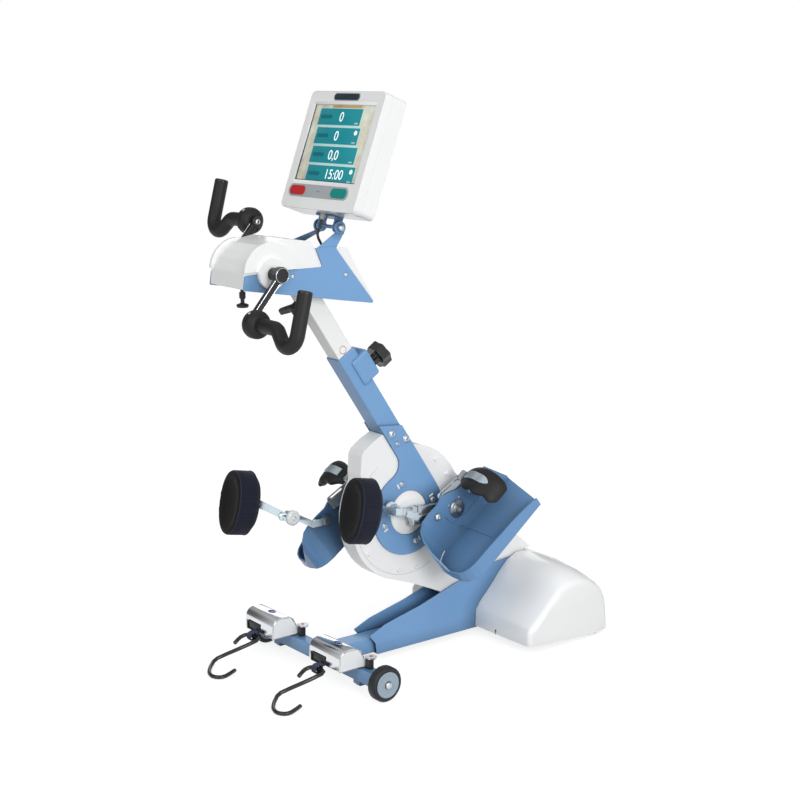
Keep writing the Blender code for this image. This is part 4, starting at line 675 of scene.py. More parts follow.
def smooth_stations(points, steps):
    """Even steps of a smooth line through given rows of three numbers (Catmull-Rom)."""
    rows = [Vector(point) for point in points]
    ends = [rows[0] * 2 - rows[1]] + rows + [rows[-1] * 2 - rows[-2]]
    line = []
    for one, two, three, four in zip(ends, ends[1:], ends[2:], ends[3:]):
        for step in range(steps):
            t = step / steps
            line.append(0.5 * (2 * two + (three - one) * t + (2 * one - 5 * two + 4 * three - four) * t * t
                               + (3 * two - one - 3 * three + four) * t ** 3))
    return line + [rows[-1]]


def flattened(value, power):
    """A cosine or sine raised to a power, with its sign kept."""
    return math.copysign(abs(value) ** power, value)


def mirrored(vector):
    """A place or direction on the other side of the middle."""
    return Vector((-vector.x, vector.y, vector.z))


def out_of(normal):
    """A turn that sets local Z along a normal, with local X kept near the object's front."""
    return normal.to_track_quat("Z", "Y").to_matrix().to_4x4()


def refined(piece):
    """Rounds a piece by one level of subdivision."""
    finer = piece.modifiers.new("soft_form", "SUBSURF")
    finer.levels = 1
    finer.render_levels = 1


def screw(name, place, normal, radius, body, slot_name, height=0.003):
    """A button-head cap screw with its socket and washer, standing on a face."""
    washer = [(0, 0.0), (radius * 1.14, 0.0), (radius * 1.14, 0.0006), (radius * 1.08, 0.0009), (radius, 0.0009)]
    head = [(radius, 0.0011), (radius * 0.93, height * 0.62), (radius * 0.70, height * 0.93),
            (radius * 0.52, height), (radius * 0.46, height * 0.94), (radius * 0.44, height * 0.45), (0, height * 0.45)]
    settle(turned(washer + head, 30), name, BOLT_STEEL, body, shift(place) @ out_of(normal), 30)


# Places on the CAD nodes

SKIN = {}


def skin(node):
    """The surface of a CAD node, ready for ray casts."""
    if node not in SKIN:
        shape = bmesh.new()
        shape.from_mesh(frame["nodes"][node].data)
        SKIN[node] = BVHTree.FromBMesh(shape)
        shape.free()
    return SKIN[node]


def where_seen(node, column, row):
    """The place and normal on a CAD node that the camera sees at a pixel."""
    half = FRAME_PIXELS / 2
    ray = CAMERA.rotation_euler.to_matrix() @ Vector((column - half, half - row, -FOCAL_PIXELS))
    place, normal, _, _ = skin(node).ray_cast(CAMERA_PLACE, ray.normalized())
    if place is None:
        return None
    return place, -normal if normal.dot(ray) > 0 else normal


# Wheels

def wheel_discs():
    """Grey discs on both faces of each wheel, and the bolt in the middle."""
    profile = [(0.0084, -0.0003), (0.0084, 0.0013), (0.0100, 0.0018), (0.0135, 0.0012), (0.0215, 0.0008),
               (0.0245, 0.0016), (0.0270, 0.0014), (0.0276, 0.0006), (0.0276, -0.0003)]
    hub = AXLE + Vector((0, 0, WHEEL_RADIUS))
    for side, name in SIDES.items():
        for label, facing, face in (("outer", side, 0.2320), ("inner", -side, 0.2090)):
            settle(turned(profile, 64, True), name + "_wheel_" + label + "_disc", DISC_GREY, name + "_wheel",
                   shift(hub + OUT[side] * face) @ outward(facing))
        screw(name + "_wheel_bolt", hub + OUT[side] * 0.2356, OUT[side], 0.0064, "base", "steel")


# Display

FACE_Y = -0.0452
PANEL_Y = -0.0409
DISPLAY_LOW = 0.0816
DISPLAY_HIGH = 0.2512
DISPLAY_HALF = 0.106
DISPLAY_RIM = 0.0022
ROW_TOP = DISPLAY_HIGH - 0.0135
ROW_PITCH = 0.0405
ROW_HEIGHT = 0.0352
BADGE_Z = 0.2618
KEY_Z = 0.0596
KEY_X = -0.008
# Each row from the top down: digits, their middle, and the field's left and right margins.
ROWS = [("0", -0.004, 0.023, 0.043), ("0", -0.004, 0.028, 0.035), ("0,0", 0.004, 0.031, 0.026),
        ("15:00", 0.024, 0.034, 0.014)]
DIAL_ROWS = (1, 3)


def on_monitor(shape, name, material, x, z, depth):
    """Settles a flat drawing in (x, z) of the monitor, standing out towards the user."""
    return settle(shape, name, material, "monitor",
                  MONITOR_FRAME @ shift((x, depth, z)) @ rotate("X", 90))


def panel_piece(name, low, high, depth, thickness, material):
    """A thin flat area of the display between two (x, z) corners, on the face at the given depth."""
    shape = block((*low, 0), (*high, thickness), min(0.0002, thickness * 0.3))
    on_monitor(shape, name, material, 0, 0, depth)


def digits(name, words, x, z, size, depth):
    """A plain number on the display."""
    data = bpy.data.curves.new(name, "FONT")
    data.body = words
    data.size = size
    data.align_x = "CENTER"
    data.align_y = "CENTER"
    data.extrude = 0.0001
    on_monitor(curve_shape(name + "_type", data, 1e-7), name, WHITE_LIGHT, x, z, depth)


def display():
    """The lit screen: a field with a rim, and four rows with digits, a label bar, a unit bar and dials."""
    half = DISPLAY_HALF
    low, high = (-half, DISPLAY_LOW), (half, DISPLAY_HIGH)
    field_low = (-half + DISPLAY_RIM, DISPLAY_LOW + DISPLAY_RIM)
    field_high = (half - DISPLAY_RIM, DISPLAY_HIGH - DISPLAY_RIM)
    face = PANEL_Y - 0.0002
    panel_piece("display_top_bezel", (-half - 0.0004, DISPLAY_HIGH - 0.0058), (half + 0.0004, DISPLAY_HIGH + 0.0006),
                face, 0.0042, WHITE_SHELL)
    panel_piece("display_field", field_low, field_high, face, 0.0004, SAND_LIGHT)
    on_monitor(framed(rectangle(low, high), rectangle(field_low, field_high), 0.0016), "display_rim", DARK_BADGE,
               0, 0, face)
    panel_piece("display_tan_bar", (-0.045, DISPLAY_HIGH - 0.0118), (0.056, DISPLAY_HIGH - 0.0066),
                face - 0.0008, 0.0003, TAN_LIGHT)
    for row, (words, middle_x, margin_left, margin_right) in enumerate(ROWS):
        top = ROW_TOP - row * ROW_PITCH
        foot = top - ROW_HEIGHT
        middle = (foot + top) / 2
        left = -half + margin_left
        right = half - margin_right
        panel_piece("display_pale_band_%d" % row, (left - 0.0015, foot - 0.0034), (right + 0.0015, top + 0.0018),
                    face - 0.0004, 0.0003, PALE_LIGHT)
        panel_piece("display_row_%d" % row, (left, foot), (right, top), face - 0.0007, 0.0003, TEAL_LIGHT)
        digits("display_digits_%d" % row, words, middle_x, middle - 0.001, 0.029, face - 0.0011)
        on_monitor(slab(pill(0.020, 0.0042, 6), 0.0002), "display_label_%d" % row, DEEP_LIGHT, left + 0.026, middle,
                   face - 0.0010)
        on_monitor(slab(pill(0.0060, 0.0012, 5), 0.0002), "display_unit_%d" % row, PALE_LIGHT, right - 0.012,
                   foot + 0.0045, face - 0.0010)
        if row in DIAL_ROWS:
            on_monitor(slab(oval(0.0050, 0.0050), 0.0002), "display_dial_%d" % row, WHITE_LIGHT, right - 0.012,
                       top - 0.0100, face - 0.0010)
            on_monitor(slab(rectangle((-0.0005, 0), (0.0005, 0.0038)), 0.0001), "display_pointer_%d" % row,
                       TEAL_LIGHT, right - 0.012, top - 0.0100, face - 0.0012)


def monitor_trim():
    """Bare badge, key strip and lamps on the front, and the plug and lead below."""
    face = FACE_Y + 0.0003
    on_monitor(slab(pill(0.0450, 0.0084), 0.0009, 0.0003), "monitor_badge_rim", GREY_PLASTIC, 0, BADGE_Z, face)
    on_monitor(slab(pill(0.0430, 0.0066), 0.0012, 0.0003), "monitor_badge", DARK_BADGE, 0, BADGE_Z, face - 0.0003)
    outlines = [((0.1045, 0.0136), KEY_X), ((0.0269, 0.0099), -0.080), ((0.0269, 0.0099), 0.064)]
    strip = pierced([[(x + middle, y, 0) for x, y in pill(*halves)] for halves, middle in outlines], 0.0009)
    on_monitor(strip, "monitor_key_strip", GREY_STRIP, 0, KEY_Z, face)
    for label, x in (("left", -0.003), ("right", 0.003)):
        on_monitor(slab(oval(0.0012, 0.0012, 16), 0.0003), "monitor_lamp_" + label, DARK_BADGE, KEY_X + x, KEY_Z,
                   face - 0.0008)
    plug = turned([(0, 0.0), (0.0062, 0.0), (0.0062, 0.0090), (0.0050, 0.0108), (0.0046, 0.0140), (0, 0.0140)], 28)
    lead = turned([(0, 0.0130), (0.0031, 0.0130), (0.0031, 0.0335), (0, 0.0335)], 24)
    place = MONITOR_FRAME @ shift((0, -0.0228, 0.0219)) @ rotate("X", 180)
    settle(plug, "monitor_plug", GREY_PLASTIC, "monitor", place)
    settle(lead, "monitor_lead", BLACK_PLASTIC, "monitor", place)


# Calf pads

PAD_WIDE = 0.039
PAD_TALL = 0.0685
PAD_DEPTH = 0.057
PAD_STEPS = 64
SWELL_LIMIT = 0.0016
SWELL_FRAMES = 14
# Rings in order along each shape's outline: the share of the pad's oval, and the depth
CUSHION_RINGS = [(0.12, 0.0105), (0.34, 0.0092), (0.56, 0.0066), (0.72, 0.0026), (0.84, -0.0010), (0.92, -0.0022),
                 (0.965, -0.0006), (0.975, 0.004), (0.965, 0.010), (0.90, 0.0135), (0.5, 0.0140), (0.12, 0.0140)]
BAND_RINGS = [(0.985, 0.0035), (1.0, 0.0026), (1.012, 0.0040), (1.014, 0.020), (1.012, 0.0430), (1.000, 0.0450),
              (0.985, 0.0440), (0.975, 0.020)]
BACK_RINGS = [(0.20, 0.0145), (0.95, 0.0145), (0.985, 0.0190), (0.985, 0.0446), (0.90, 0.0515), (0.820, 0.0562),
              (0.78, PAD_DEPTH), (0.20, PAD_DEPTH)]


def pad_oval(share, depth, steps, count):
    """Points of one oval of the pad, flattened a little at its sides."""
    angles = [2 * math.pi * step / steps for step in range(count)]
    return [Vector((PAD_WIDE * share * flattened(math.cos(angle), 0.92), depth,
                    PAD_TALL * share * flattened(math.sin(angle), 0.86))) for angle in angles]


def pad_loops(shape, rings):
    return [closed_line(shape, pad_oval(share, depth, PAD_STEPS, PAD_STEPS)) for share, depth in rings]


def pad_solid(rings):
    shape = bmesh.new()
    bridged(shape, pad_loops(shape, rings))
    bmesh.ops.holes_fill(shape, edges=[e for e in shape.edges if e.is_boundary], sides=0)
    bmesh.ops.triangulate(shape, faces=[f for f in shape.faces if len(f.verts) > 4])
    bmesh.ops.recalc_face_normals(shape, faces=shape.faces)
    return shape


def pad_band():
    """The tube of cloth round the pad's edge."""
    shape = bmesh.new()
    loops = pad_loops(shape, BAND_RINGS)
    bridged(shape, loops + loops[:1])
    return shape


def change_mesh(piece, made, modifier):
    """Puts the worked-out mesh in place of a piece's mesh and modifier."""
    piece.modifiers.remove(modifier)
    old = piece.data
    piece.data = made
    bpy.data.meshes.remove(old)


def swell(piece):
    """Pumps a remeshed cushion up with a short cloth run, and keeps each point within a limit of its start."""
    remesh = piece.modifiers.new("even_net", "REMESH")
    remesh.mode = "VOXEL"
    remesh.voxel_size = 0.0032
    bpy.context.view_layer.update()
    change_mesh(piece, worked_out(piece), remesh)
    before = [vertex.co.copy() for vertex in piece.data.vertices]
    cloth = piece.modifiers.new("swelling", "CLOTH")
    cloth.settings.quality = 4
    cloth.settings.mass = 0.2
    cloth.settings.use_pressure = True
    cloth.settings.uniform_pressure_force = 4
    cloth.settings.effector_weights.gravity = 0
    cloth.point_cache.frame_start = 1
    cloth.point_cache.frame_end = SWELL_FRAMES
    for step in range(1, SWELL_FRAMES + 1):
        bpy.context.scene.frame_set(step)
    made = worked_out(piece)
    change_mesh(piece, made, cloth)
    bpy.context.scene.frame_set(1)
    for vertex, start in zip(made.vertices, before):
        step = vertex.co - start
        if step.length > SWELL_LIMIT:
            vertex.co = start + step.normalized() * SWELL_LIMIT


def calf_pads():
    """Swollen cushions with their bands, backs, piping, seams and screws."""
    for side, name in SIDES.items():
        place = PAD_FRAME[side]
        body = name + "_calf"
        label = body + "_"
        cushion = settle(pad_solid(CUSHION_RINGS), label + "cushion", PAD_CLOTH, body, place)
        swell(cushion)
        cushion.data.shade_smooth()
        refined(cushion)
        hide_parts(label + "pad")
        settle(pad_band(), label + "band", NAVY_CLOTH, body, place, 60)
        settle(pad_solid(BACK_RINGS), label + "back", NAVY_CLOTH, body, place, 30)
        for edge, share, depth, radius in (("front", 0.978, 0.0022, 0.0014), ("rear", 1.008, 0.0441, 0.0009)):
            rod([place @ point for point in pad_oval(share, depth, 96, 97)], radius, label + edge + "_piping",
                THREAD, body)
        for edge, offset in (("left", -0.0085), ("right", 0.0085)):
            points = []
            for step in range(25):
                share = -0.80 + 1.6 * step / 24
                x = offset * math.cos(share * 1.2)
                reach = math.hypot(x / PAD_WIDE, share)
                depth = 0.0098 - 0.0125 * max(0.0, reach - 0.1) ** 2
                points.append(place @ Vector((x, depth, PAD_TALL * share)))
            rod(points, 0.0008, label + "seam_" + edge, THREAD, body, 2)
        for ending, height in (("", 0.018), ("_low", -0.020)):
            screw(label + "back_screw" + ending, place @ Vector((0, PAD_DEPTH, height)),
                  place.to_3x3() @ Vector((0, 1, 0)), 0.0045, body, "steel")


# Leg cranks, foot shells and clamps

def crank_fittings():
    """Cap, clamp block and slot where each leg crank grips the shaft."""
    cap = [(0, 0.0032), (0.0070, 0.0032), (0.0082, 0.0026), (0.0086, 0.0014), (0.0112, 0.0012),
           (0.0118, 0.0004), (0.0118, -0.0003), (0, -0.0003)]
    along = turned_frame(LEG_AXIS, 1.15)
    for side, name in SIDES.items():
        settle(turned(cap, 40), name + "_crank_cap", BOLT_STEEL, "leg_crank",
               shift(LEG_AXIS + OUT[side] * 0.0570) @ outward(side))
        clamp = side_block(side, (0.0455, -0.013, -0.0207), (0.0600, 0.013, 0.0207), 0.0012)
        grip = settle(clamp, name + "_crank_clamp", STEEL, "leg_crank", along)
        # The clamp's slot is a dark block of painted shade.
        cut = side_block(side, (0.0463, -0.0012, 0.0060), (0.0602, 0.0012, 0.0210), 0.0003)
        settle(cut, name + "_crank_clamp_slot", PAINTED_HOLE_SHADE, "leg_crank", along)
        grip.data.shade_flat()


def foot_details():
    """Pedal washer, and the line and rivets of the plate on each foot shell's wall."""
    washer = [(0, 0.0052), (0.0050, 0.0052), (0.0056, 0.0072), (0.0090, 0.0070), (0.0108, 0.0042),
              (0.0128, 0.0034), (0.0196, 0.0024), (0.0204, 0.0016), (0.0204, 0.0004), (0, 0.0004)]
    plate = [(-0.036, 0.010), (-0.030, -0.017), (0.010, -0.026), (0.060, -0.026), (0.074, 0.010), (0.068, 0.034),
             (0.052, 0.042)]
    rivet = [(0, 0.0006), (0.0022, 0.0006), (0.0026, 0.0002), (0.0026, -0.0002), (0, -0.0002)]
    wall = 0.0735
    for side, name in SIDES.items():
        place = FOOT_FRAME[side]
        body = name + "_foot"
        settle(turned(washer, 56), name + "_pedal_washer", DARK_STEEL, "leg_crank",
               shift(PEDAL[side] + OUT[side] * wall) @ outward(side))
        rod([place @ Vector((side * (wall + 0.0001), a, b)) for a, b in plate], 0.0005, name + "_shell_plate_line",
            SEAM_BLUE, body, 2)
        for index, (a, b) in enumerate(((0.020, 0.016), (-0.012, 0.022), (0.048, 0.004))):
            settle(turned(rivet, 20), name + "_shell_rivet_%d" % index, BOLT_STEEL, body,
                   shift(place @ Vector((side * wall, a, b))) @ out_of(OUT[side]))


def shell_marks():
    """Heel slit and floor seam, where the photograph shows them on the near shell, and mirrored on the far one."""
    # The heel slit is a pale line: painted light where the bright backdrop shows through the slit.
    marks = [("heel_slit", [(444.6, 551), (442.4, 555), (440.8, 560), (440.3, 565)], 0.0012, PALE_PLASTIC),
             ("floor_seam", [(459, 525), (470, 529), (482, 533.5), (494, 538)], 0.0004, SEAM_BLUE)]
    to_foot = FOOT_FRAME[1].inverted()
    for label, pixels, radius, material in marks:
        hits = [where_seen("near_foot_shell", column, row) for column, row in pixels]
        points = [hit[0] + hit[1] * 0.0002 for hit in hits if hit is not None]
        if len(points) < 2:
            continue
        rod(points, radius, "near_shell_" + label, material, "near_foot", 2)
        far_points = [FOOT_FRAME[-1] @ mirrored(to_foot @ point) for point in points]
        rod(far_points, radius, "far_shell_" + label, material, "far_foot", 2)


# Each station of a claw: x and height of its back, half width, half thickness.
CLAW_BACK = [(0.0015, -0.0045, 0.0150, 0.0054), (0.0100, 0.0045, 0.0205, 0.0076), (0.0230, 0.0108, 0.0265, 0.0092),
             (0.0380, 0.0142, 0.0305, 0.0100), (0.0540, 0.0148, 0.0322, 0.0102), (0.0700, 0.0104, 0.0328, 0.0098),
             (0.0860, 0.0020, 0.0324, 0.0092), (0.0990, -0.0096, 0.0306, 0.0082), (0.1070, -0.0230, 0.0276, 0.0070),
             (0.1095, -0.0350, 0.0225, 0.0052)]
CLAW_MIDDLE = 0.055
CLAW_STEPS = 28
BAND_HALF = 0.0098


def claw_shape(side):
    """A curved rubber claw with a scalloped inner edge and a crown on its back."""
    stations = smooth_stations([(x, z, wide) for x, z, wide, _ in CLAW_BACK], 4)
    thick = smooth_stations([(half, 0, 0) for _, _, _, half in CLAW_BACK], 4)
    last = len(stations) - 1
    shape = bmesh.new()
    loops = []
    for index, (station, half) in enumerate(zip(stations, thick)):
        before = stations[max(index - 1, 0)]
        after = stations[min(index + 1, last)]
        along = Vector((after.x - before.x, after.y - before.y)).normalized()
        share = index / last
        scallop = 1 + 0.10 * math.cos(share * 22) * min(1, 4 * share)
        points = []
        for step in range(CLAW_STEPS):
            angle = 2 * math.pi * step / CLAW_STEPS
            across = flattened(math.cos(angle), 0.7)
            deep = flattened(math.sin(angle), 0.75)
            wide = station.z * (scallop if across < 0 else 1)
            crown = 0.0022 * max(0.0, deep) * math.exp(-((across - 0.45) / 0.4) ** 2) * math.sin(math.pi * share)
            lift = half.x * (deep - 1) + crown
            points.append((side * (station.x - along.y * lift), CLAW_MIDDLE + wide * across,
                           station.y + along.x * lift))
        loops.append(closed_line(shape, points))
    bridged(shape, loops)
    bmesh.ops.holes_fill(shape, edges=loops[0] + loops[-1], sides=0)
    return shape


def claw_band_shape(side):
    """A bright band along a claw's back, rounded at its outer end."""
    rail = smooth_stations([(x, z, 0) for x, z, _, _ in CLAW_BACK[2:7]], 5)
    last = len(rail) - 1
    shape = bmesh.new()
    rows = []
    for lift, edge in ((0.0030, -1), (0.0030, 1), (-0.0010, 1), (-0.0010, -1)):
        row = []
        for index, point in enumerate(rail):
            half = BAND_HALF * math.sqrt(max(0.05, 1 - max(0.0, (index / last - 0.72) / 0.28) ** 2))
            row.append(shape.verts.new((side * point.x, CLAW_MIDDLE + edge * half, point.y + lift)))
        rows.append(row)
    for one, two in zip(rows, rows[1:] + rows[:1]):
        for index in range(last):
            shape.faces.new((one[index], one[index + 1], two[index + 1], two[index]))
    for end in (0, -1):
        shape.faces.new([row[end] for row in rows])
    return shape


def claws():
    """Soft rubber claws with a bright band on the back, a grey joint and its pin."""
    joint = [(0.0040, 0.0460), (0.0084, 0.0460), (0.0090, 0.0468), (0.0090, 0.0515), (0.0084, 0.0522),
             (0.0084, 0.0558), (0.0090, 0.0565), (0.0090, 0.0652), (0.0084, 0.0660), (0.0040, 0.0660)]
    pin = [(0, 0.0440), (0.0052, 0.0440), (0.0060, 0.0448), (0.0060, 0.0462), (0.0041, 0.0462),
           (0.0041, 0.0662), (0, 0.0662)]
    for side, name in SIDES.items():
        place = FOOT_FRAME[side] @ shift((side * 0.076, 0, 0.049))
        across = place @ rotate("X", -90)
        body = name + "_foot_clamp"
        claw = settle(claw_shape(side), name + "_claw", CLAW_RUBBER, body, place, 70)
        refined(claw)
        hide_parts(body)
        settle(turned(joint, 40, True), name + "_claw_joint", GREY_PLASTIC, body, across, 30)
        settle(turned(pin, 32), name + "_claw_pin", BOLT_STEEL, body, across, 30)
        settle(claw_band_shape(side), name + "_claw_band", BLUE_STEEL, body, place)


def calf_arm_fittings():
    """Knob cap, clip, bolts and rivets of the arms that carry the calf pads."""
    knob = [(0, 0.0044), (0.0110, 0.0044), (0.0144, 0.0034), (0.0164, 0.0010), (0.0164, -0.0050),
            (0.0150, -0.0070), (0.0, -0.0070)]
    bolt = [(0, 0.0003), (0.0094, 0.0003), (0.0100, 0.0001), (0.0100, -0.0006), (0, -0.0006)]
    for side, name in SIDES.items():
        hub = PEDAL[side] + rotate("X", FOOT_TILT).to_3x3() @ Vector((0, -0.050, 0.027))
        body = name + "_calf"
        settle(turned(knob, 48), body + "_knob_cap", PALE_PLASTIC, body,
               shift(hub + Vector((side * 0.0405, -0.103, 0.0285))) @ outward(-side))
        screw(body + "_knob_screw", hub + Vector((side * 0.0361, -0.103, 0.0285)), OUT[-side], 0.0040, body, "steel")
        clip = side_block(side, (0.0587, -0.088, 0.0150), (0.0665, -0.078, 0.0330), 0.0012)
        settle(clip, body + "_clip", STEEL, body, shift(hub))
        screw(body + "_pin_screw", hub + OUT[side] * 0.0778, OUT[side], 0.0062, body, "steel", 0.0022)
        settle(turned(bolt, 40), body + "_pin_bolt", DARK_STEEL, body,
               shift(hub + OUT[side] * 0.0605) @ outward(-side))
        for index, (y, z) in enumerate(((-0.020, 0.0), (-0.110, 0.0285))):
            screw(body + "_arm_rivet_%d" % index, hub + Vector((side * 0.0645, y, z)), OUT[side], 0.0024, body,
                  "steel", 0.0016)


# Reels, straps and levers

REEL_CORNERS = [(-0.0640, 0.0552), (-0.0637, 0.0740), (-0.0603, 0.0880), (-0.0520, 0.0962), (-0.0400, 0.0985),
                (-0.0220, 0.0974), (-0.0105, 0.0905), (-0.0030, 0.0780), (0.0040, 0.0625), (0.0052, 0.0552)]
CAP_RIM = [(-0.0640, 0.0552), (-0.0622, 0.0850), (-0.0560, 0.0935), (-0.0455, 0.0968), (-0.0190, 0.0962),
           (-0.0110, 0.0910), (0.0040, 0.0625), (0.0052, 0.0552)]


def reel_fittings():
    """Rounded reel housings with a badge, a mouth for the strap and a bead round the end cap."""
    for side, name in SIDES.items():
        left = REEL_LEFT[side]
        label = name + "_reel_"
        line = [(point.x, point.y) for point in smooth_stations([(y, z, 0) for y, z in REEL_CORNERS], 5)]
        across = Matrix(((0, 0, 1, left), (1, 0, 0, 0), (0, 1, 0, 0), (0, 0, 0, 1)))
        case = settle(slab(line, 0.108, 0.0006), label + "case", CHROME, "base", shift(AXLE) @ across, 34)
        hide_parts(name + "_reel")
        top = shift(AXLE + Vector((left + 0.060, -0.0320, 0.0979)))
        settle(slab(oval(0.0130, 0.0080), 0.0010, 0.0003), label + "badge_rim", CHROME, "base", top)
        settle(slab(oval(0.0112, 0.0064), 0.0014, 0.0003), label + "badge", BLUE_BADGE, "base", top)
        # A black block set back in the mouth: painted shade inside the opening.
        dark = block((left + 0.0120, -0.0655, 0.0556), (left + 0.0575, -0.0615, 0.0730), 0.0004)
        settle(dark, label + "opening", BLACK_PLASTIC, "base", shift(AXLE))
        mouth = framed(rectangle((left + 0.0105, 0.0546), (left + 0.0590, 0.0742)),
                       rectangle((left + 0.0130, 0.0566), (left + 0.0565, 0.0720)), 0.0022)
        settle(mouth, label + "mouth", BLACK_PLASTIC, "base",
               shift(AXLE + Vector((0, -0.0652, 0))) @ rotate("X", 90))
        rod([AXLE + Vector((left + 0.1104, y, z)) for y, z in CAP_RIM + CAP_RIM[:1]], 0.0009, label + "cap_bead",
            CHROME, "base")


def strap_loops():
    """Folded webbing round the hook's eye, sewn flat behind it."""
    inner = 0.0090
    outer = inner + 0.0017
    half = 0.0078
    outline = [(0.060, 0.0133)] + arc(outer, 76, 305, 24) + [(0.0105, 0.0100), (0.060, 0.0104)]
    for side, name in SIDES.items():
        bar = AXLE + Vector((REEL_LEFT[side] - REEL_LEFT[1] + 0.091, -0.0775, 0.0485))
        body = name + "_strap"
        shape = pierced([[(-half, y, z) for y, z in points] for points in (outline, oval(inner, inner, 32))],
                        2 * half, (1, 0, 0))
        strap = settle(shape, body + "_loop", STRAP_CLOTH, body, shift(bar), 50)
        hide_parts(name + "_webbing")
        for row, y in enumerate((0.0185, 0.0235)):
            for stitch in range(5):
                x = -0.0060 + 0.0026 * stitch
                points = [bar + Vector((x + along, y, z))
                          for along, z in ((0, 0.0134), (0.0008, 0.0138), (0.0016, 0.0134))]
                rod(points, 0.0003, body + "_stitch_%d_%d" % (row, stitch), THREAD, body, 1)


def lever_fittings():
    """Black post and red mark of the release lever on each reel."""
    mark = [(0, 0.0009), (0.0026, 0.0009), (0.0032, 0.0004), (0.0032, -0.0002), (0, -0.0002)]
    for side, name in SIDES.items():
        place = shift(LEVER_PLACE[side])
        body = name + "_reel_lever"
        post = framed(rectangle((-0.0068, -0.0058), (0.0068, 0.0058)), rectangle((-0.0058, -0.0048), (0.0058, 0.0048)),
                      0.0215)
        settle(post, name + "_lever_post", BLACK_PLASTIC, body, place @ shift((0, 0, -0.0194)))
        settle(turned(mark, 24), name + "_lever_mark", RED_PLASTIC, body,
               place @ shift((0.002, 0.002, 0.0065)))


# Base, mast and case

SEAM_RADIUS = 0.1405
CASE_HALF = 0.024
PLATE_FACE = CASE_HALF + 0.0003 + 0.004
BOLT_CIRCLE = 0.0695


def case_details():
    """The seam round each half case, and the screws and slots of the side plates."""
    screws = [(0.1686 + AXLE_Y, 0.5055, 0.0077), (0.2075 + AXLE_Y, 0.4897, 0.0077), (0.1824 + AXLE_Y, 0.482, 0.0046)]
    for quarter in range(4):
        angle = math.radians(16 + 90 * quarter)
        screws.append((LEG_AXIS.y + BOLT_CIRCLE * math.cos(angle), LEG_AXIS.z + BOLT_CIRCLE * math.sin(angle), 0.0057))
    for side, name in SIDES.items():
        hits = []
        for y, z in arc(SEAM_RADIUS, 126, 298, 48):
            start = LEG_AXIS + Vector((side * 0.10, y, z))
            place, _, _, _ = skin(name + "_leg_case").ray_cast(start, OUT[-side], 0.12)
            if place is not None:
                hits.append(place + OUT[side] * 0.0001)
        if len(hits) > 3:
            rod(hits, 0.0005, name + "_case_seam", SEAM_PALE, "base", 2)
        for index, (y, z, radius) in enumerate(screws):
            screw(name + "_plate_screw_%d" % index, Vector((side * PLATE_FACE, y, z)), OUT[side], radius, "base",
                  "blue_paint", 0.0046)
        for quarter in range(4):
            degrees = 25 + 90 * quarter
            angle = math.radians(degrees)
            place = LEG_AXIS + Vector((side * PLATE_FACE, BOLT_CIRCLE * math.cos(angle),
                                       BOLT_CIRCLE * math.sin(angle)))
            settle(slab(pill(0.0062, 0.0021, 6), 0.0005), name + "_ring_slot_%d" % quarter, WHITE_SHELL, "base",
                   shift(place) @ rotate("X", degrees + 90) @ outward(side))


def hood_details():
    """Keyholes in the rear hood, screws of the arm plates and the monitor's hinge, and the mark on the mast."""
    # The keyholes are flat dark slabs of painted shade on the hood's surface.
    for name, outline in (("hood_keyhole", oval(0.0026, 0.0026, 20)),
                          ("hood_keyhole_stem", rectangle((-0.0010, -0.0090), (0.0010, 0.0)))):
        for side, label in SIDES.items():
            place, _, _, _ = skin("rear_cover").ray_cast(Vector((side * 0.100, 0.0, 0.026)), Vector((0, 1, 0)), 0.5)
            if place is not None:
                settle(slab(outline, 0.0004), label + "_" + name, PAINTED_HOLE_SHADE, "base",
                       shift(place) @ rotate("X", 90))
    for index, (column, row) in enumerate(((345.8, 274.5), (292.5, 276.3))):
        hit = where_seen("near_arm_plate", column, row)
        if hit is not None:
            screw("arm_plate_screw_%d" % index, *hit, 0.0038, "arm_unit", "blue_paint", 0.0026)
            screw("far_arm_plate_screw_%d" % index, *map(mirrored, hit), 0.0038, "arm_unit", "blue_paint", 0.0026)
    for side, label in SIDES.items():
        screw(label + "_hinge_screw", MONITOR_HINGE + OUT[side] * 0.0427, OUT[side], 0.0056, "monitor", "blue_paint")
    hit = where_seen("upper_mast", 343, 350)
    if hit is not None:
        ring = turned([(0.0076, 0.0), (0.0076, 0.00012), (0.0088, 0.00012), (0.0088, 0.0)], 48, True)
        settle(ring, "mast_ring_mark", RED_PLASTIC, "arm_unit", shift(hit[0]) @ out_of(hit[1]))


def tube_brackets():
    """Small folded brackets with a rubber pad under the cross tube."""
    for name, x in (("near", 0.140), ("far", -0.160)):
        plate = block((x - 0.011, -0.013, 0.0140), (x + 0.011, 0.013, 0.0232), 0.0012)
        settle(plate, name + "_tube_bracket", BLUE_COAT, "base", shift(AXLE))
        pad = block((x - 0.008, -0.009, 0.0105), (x + 0.008, 0.009, 0.0146), 0.0010)
        settle(pad, name + "_tube_pad", FOOT_RUBBER, "base", shift(AXLE))


# Grips and arm cranks

HUB_LOW = 0.1053
HUB_WIDTH = 0.0345
HUB_MIDDLE = HUB_LOW + HUB_WIDTH / 2
GRIP_RADIUS = 0.0145
GRIP_BEND = 0.026
# Radius and height over the hub's inner face
HUB_PROFILE = [(0, 0), (0.0180, 0), (0.0212, 0.0012), (0.0262, 0.0060), (0.0280, 0.0120), (0.0280, 0.0155),
               (0.0272, 0.0165), (0.0272, 0.0185), (0.0280, 0.0195), (0.0278, 0.0235), (0.0258, 0.0290),
               (0.0210, 0.0332), (0.0170, HUB_WIDTH), (0.0080, HUB_WIDTH), (0.0066, HUB_WIDTH - 0.0020),
               (0, HUB_WIDTH - 0.0020)]
END_PROFILE = [(GRIP_RADIUS, -0.0005), (GRIP_RADIUS, 0.0), (0.0138, 0.0022), (0.0120, 0.0036), (0.0090, 0.0040),
               (0.0070, 0.0034), (0, 0.0034)]


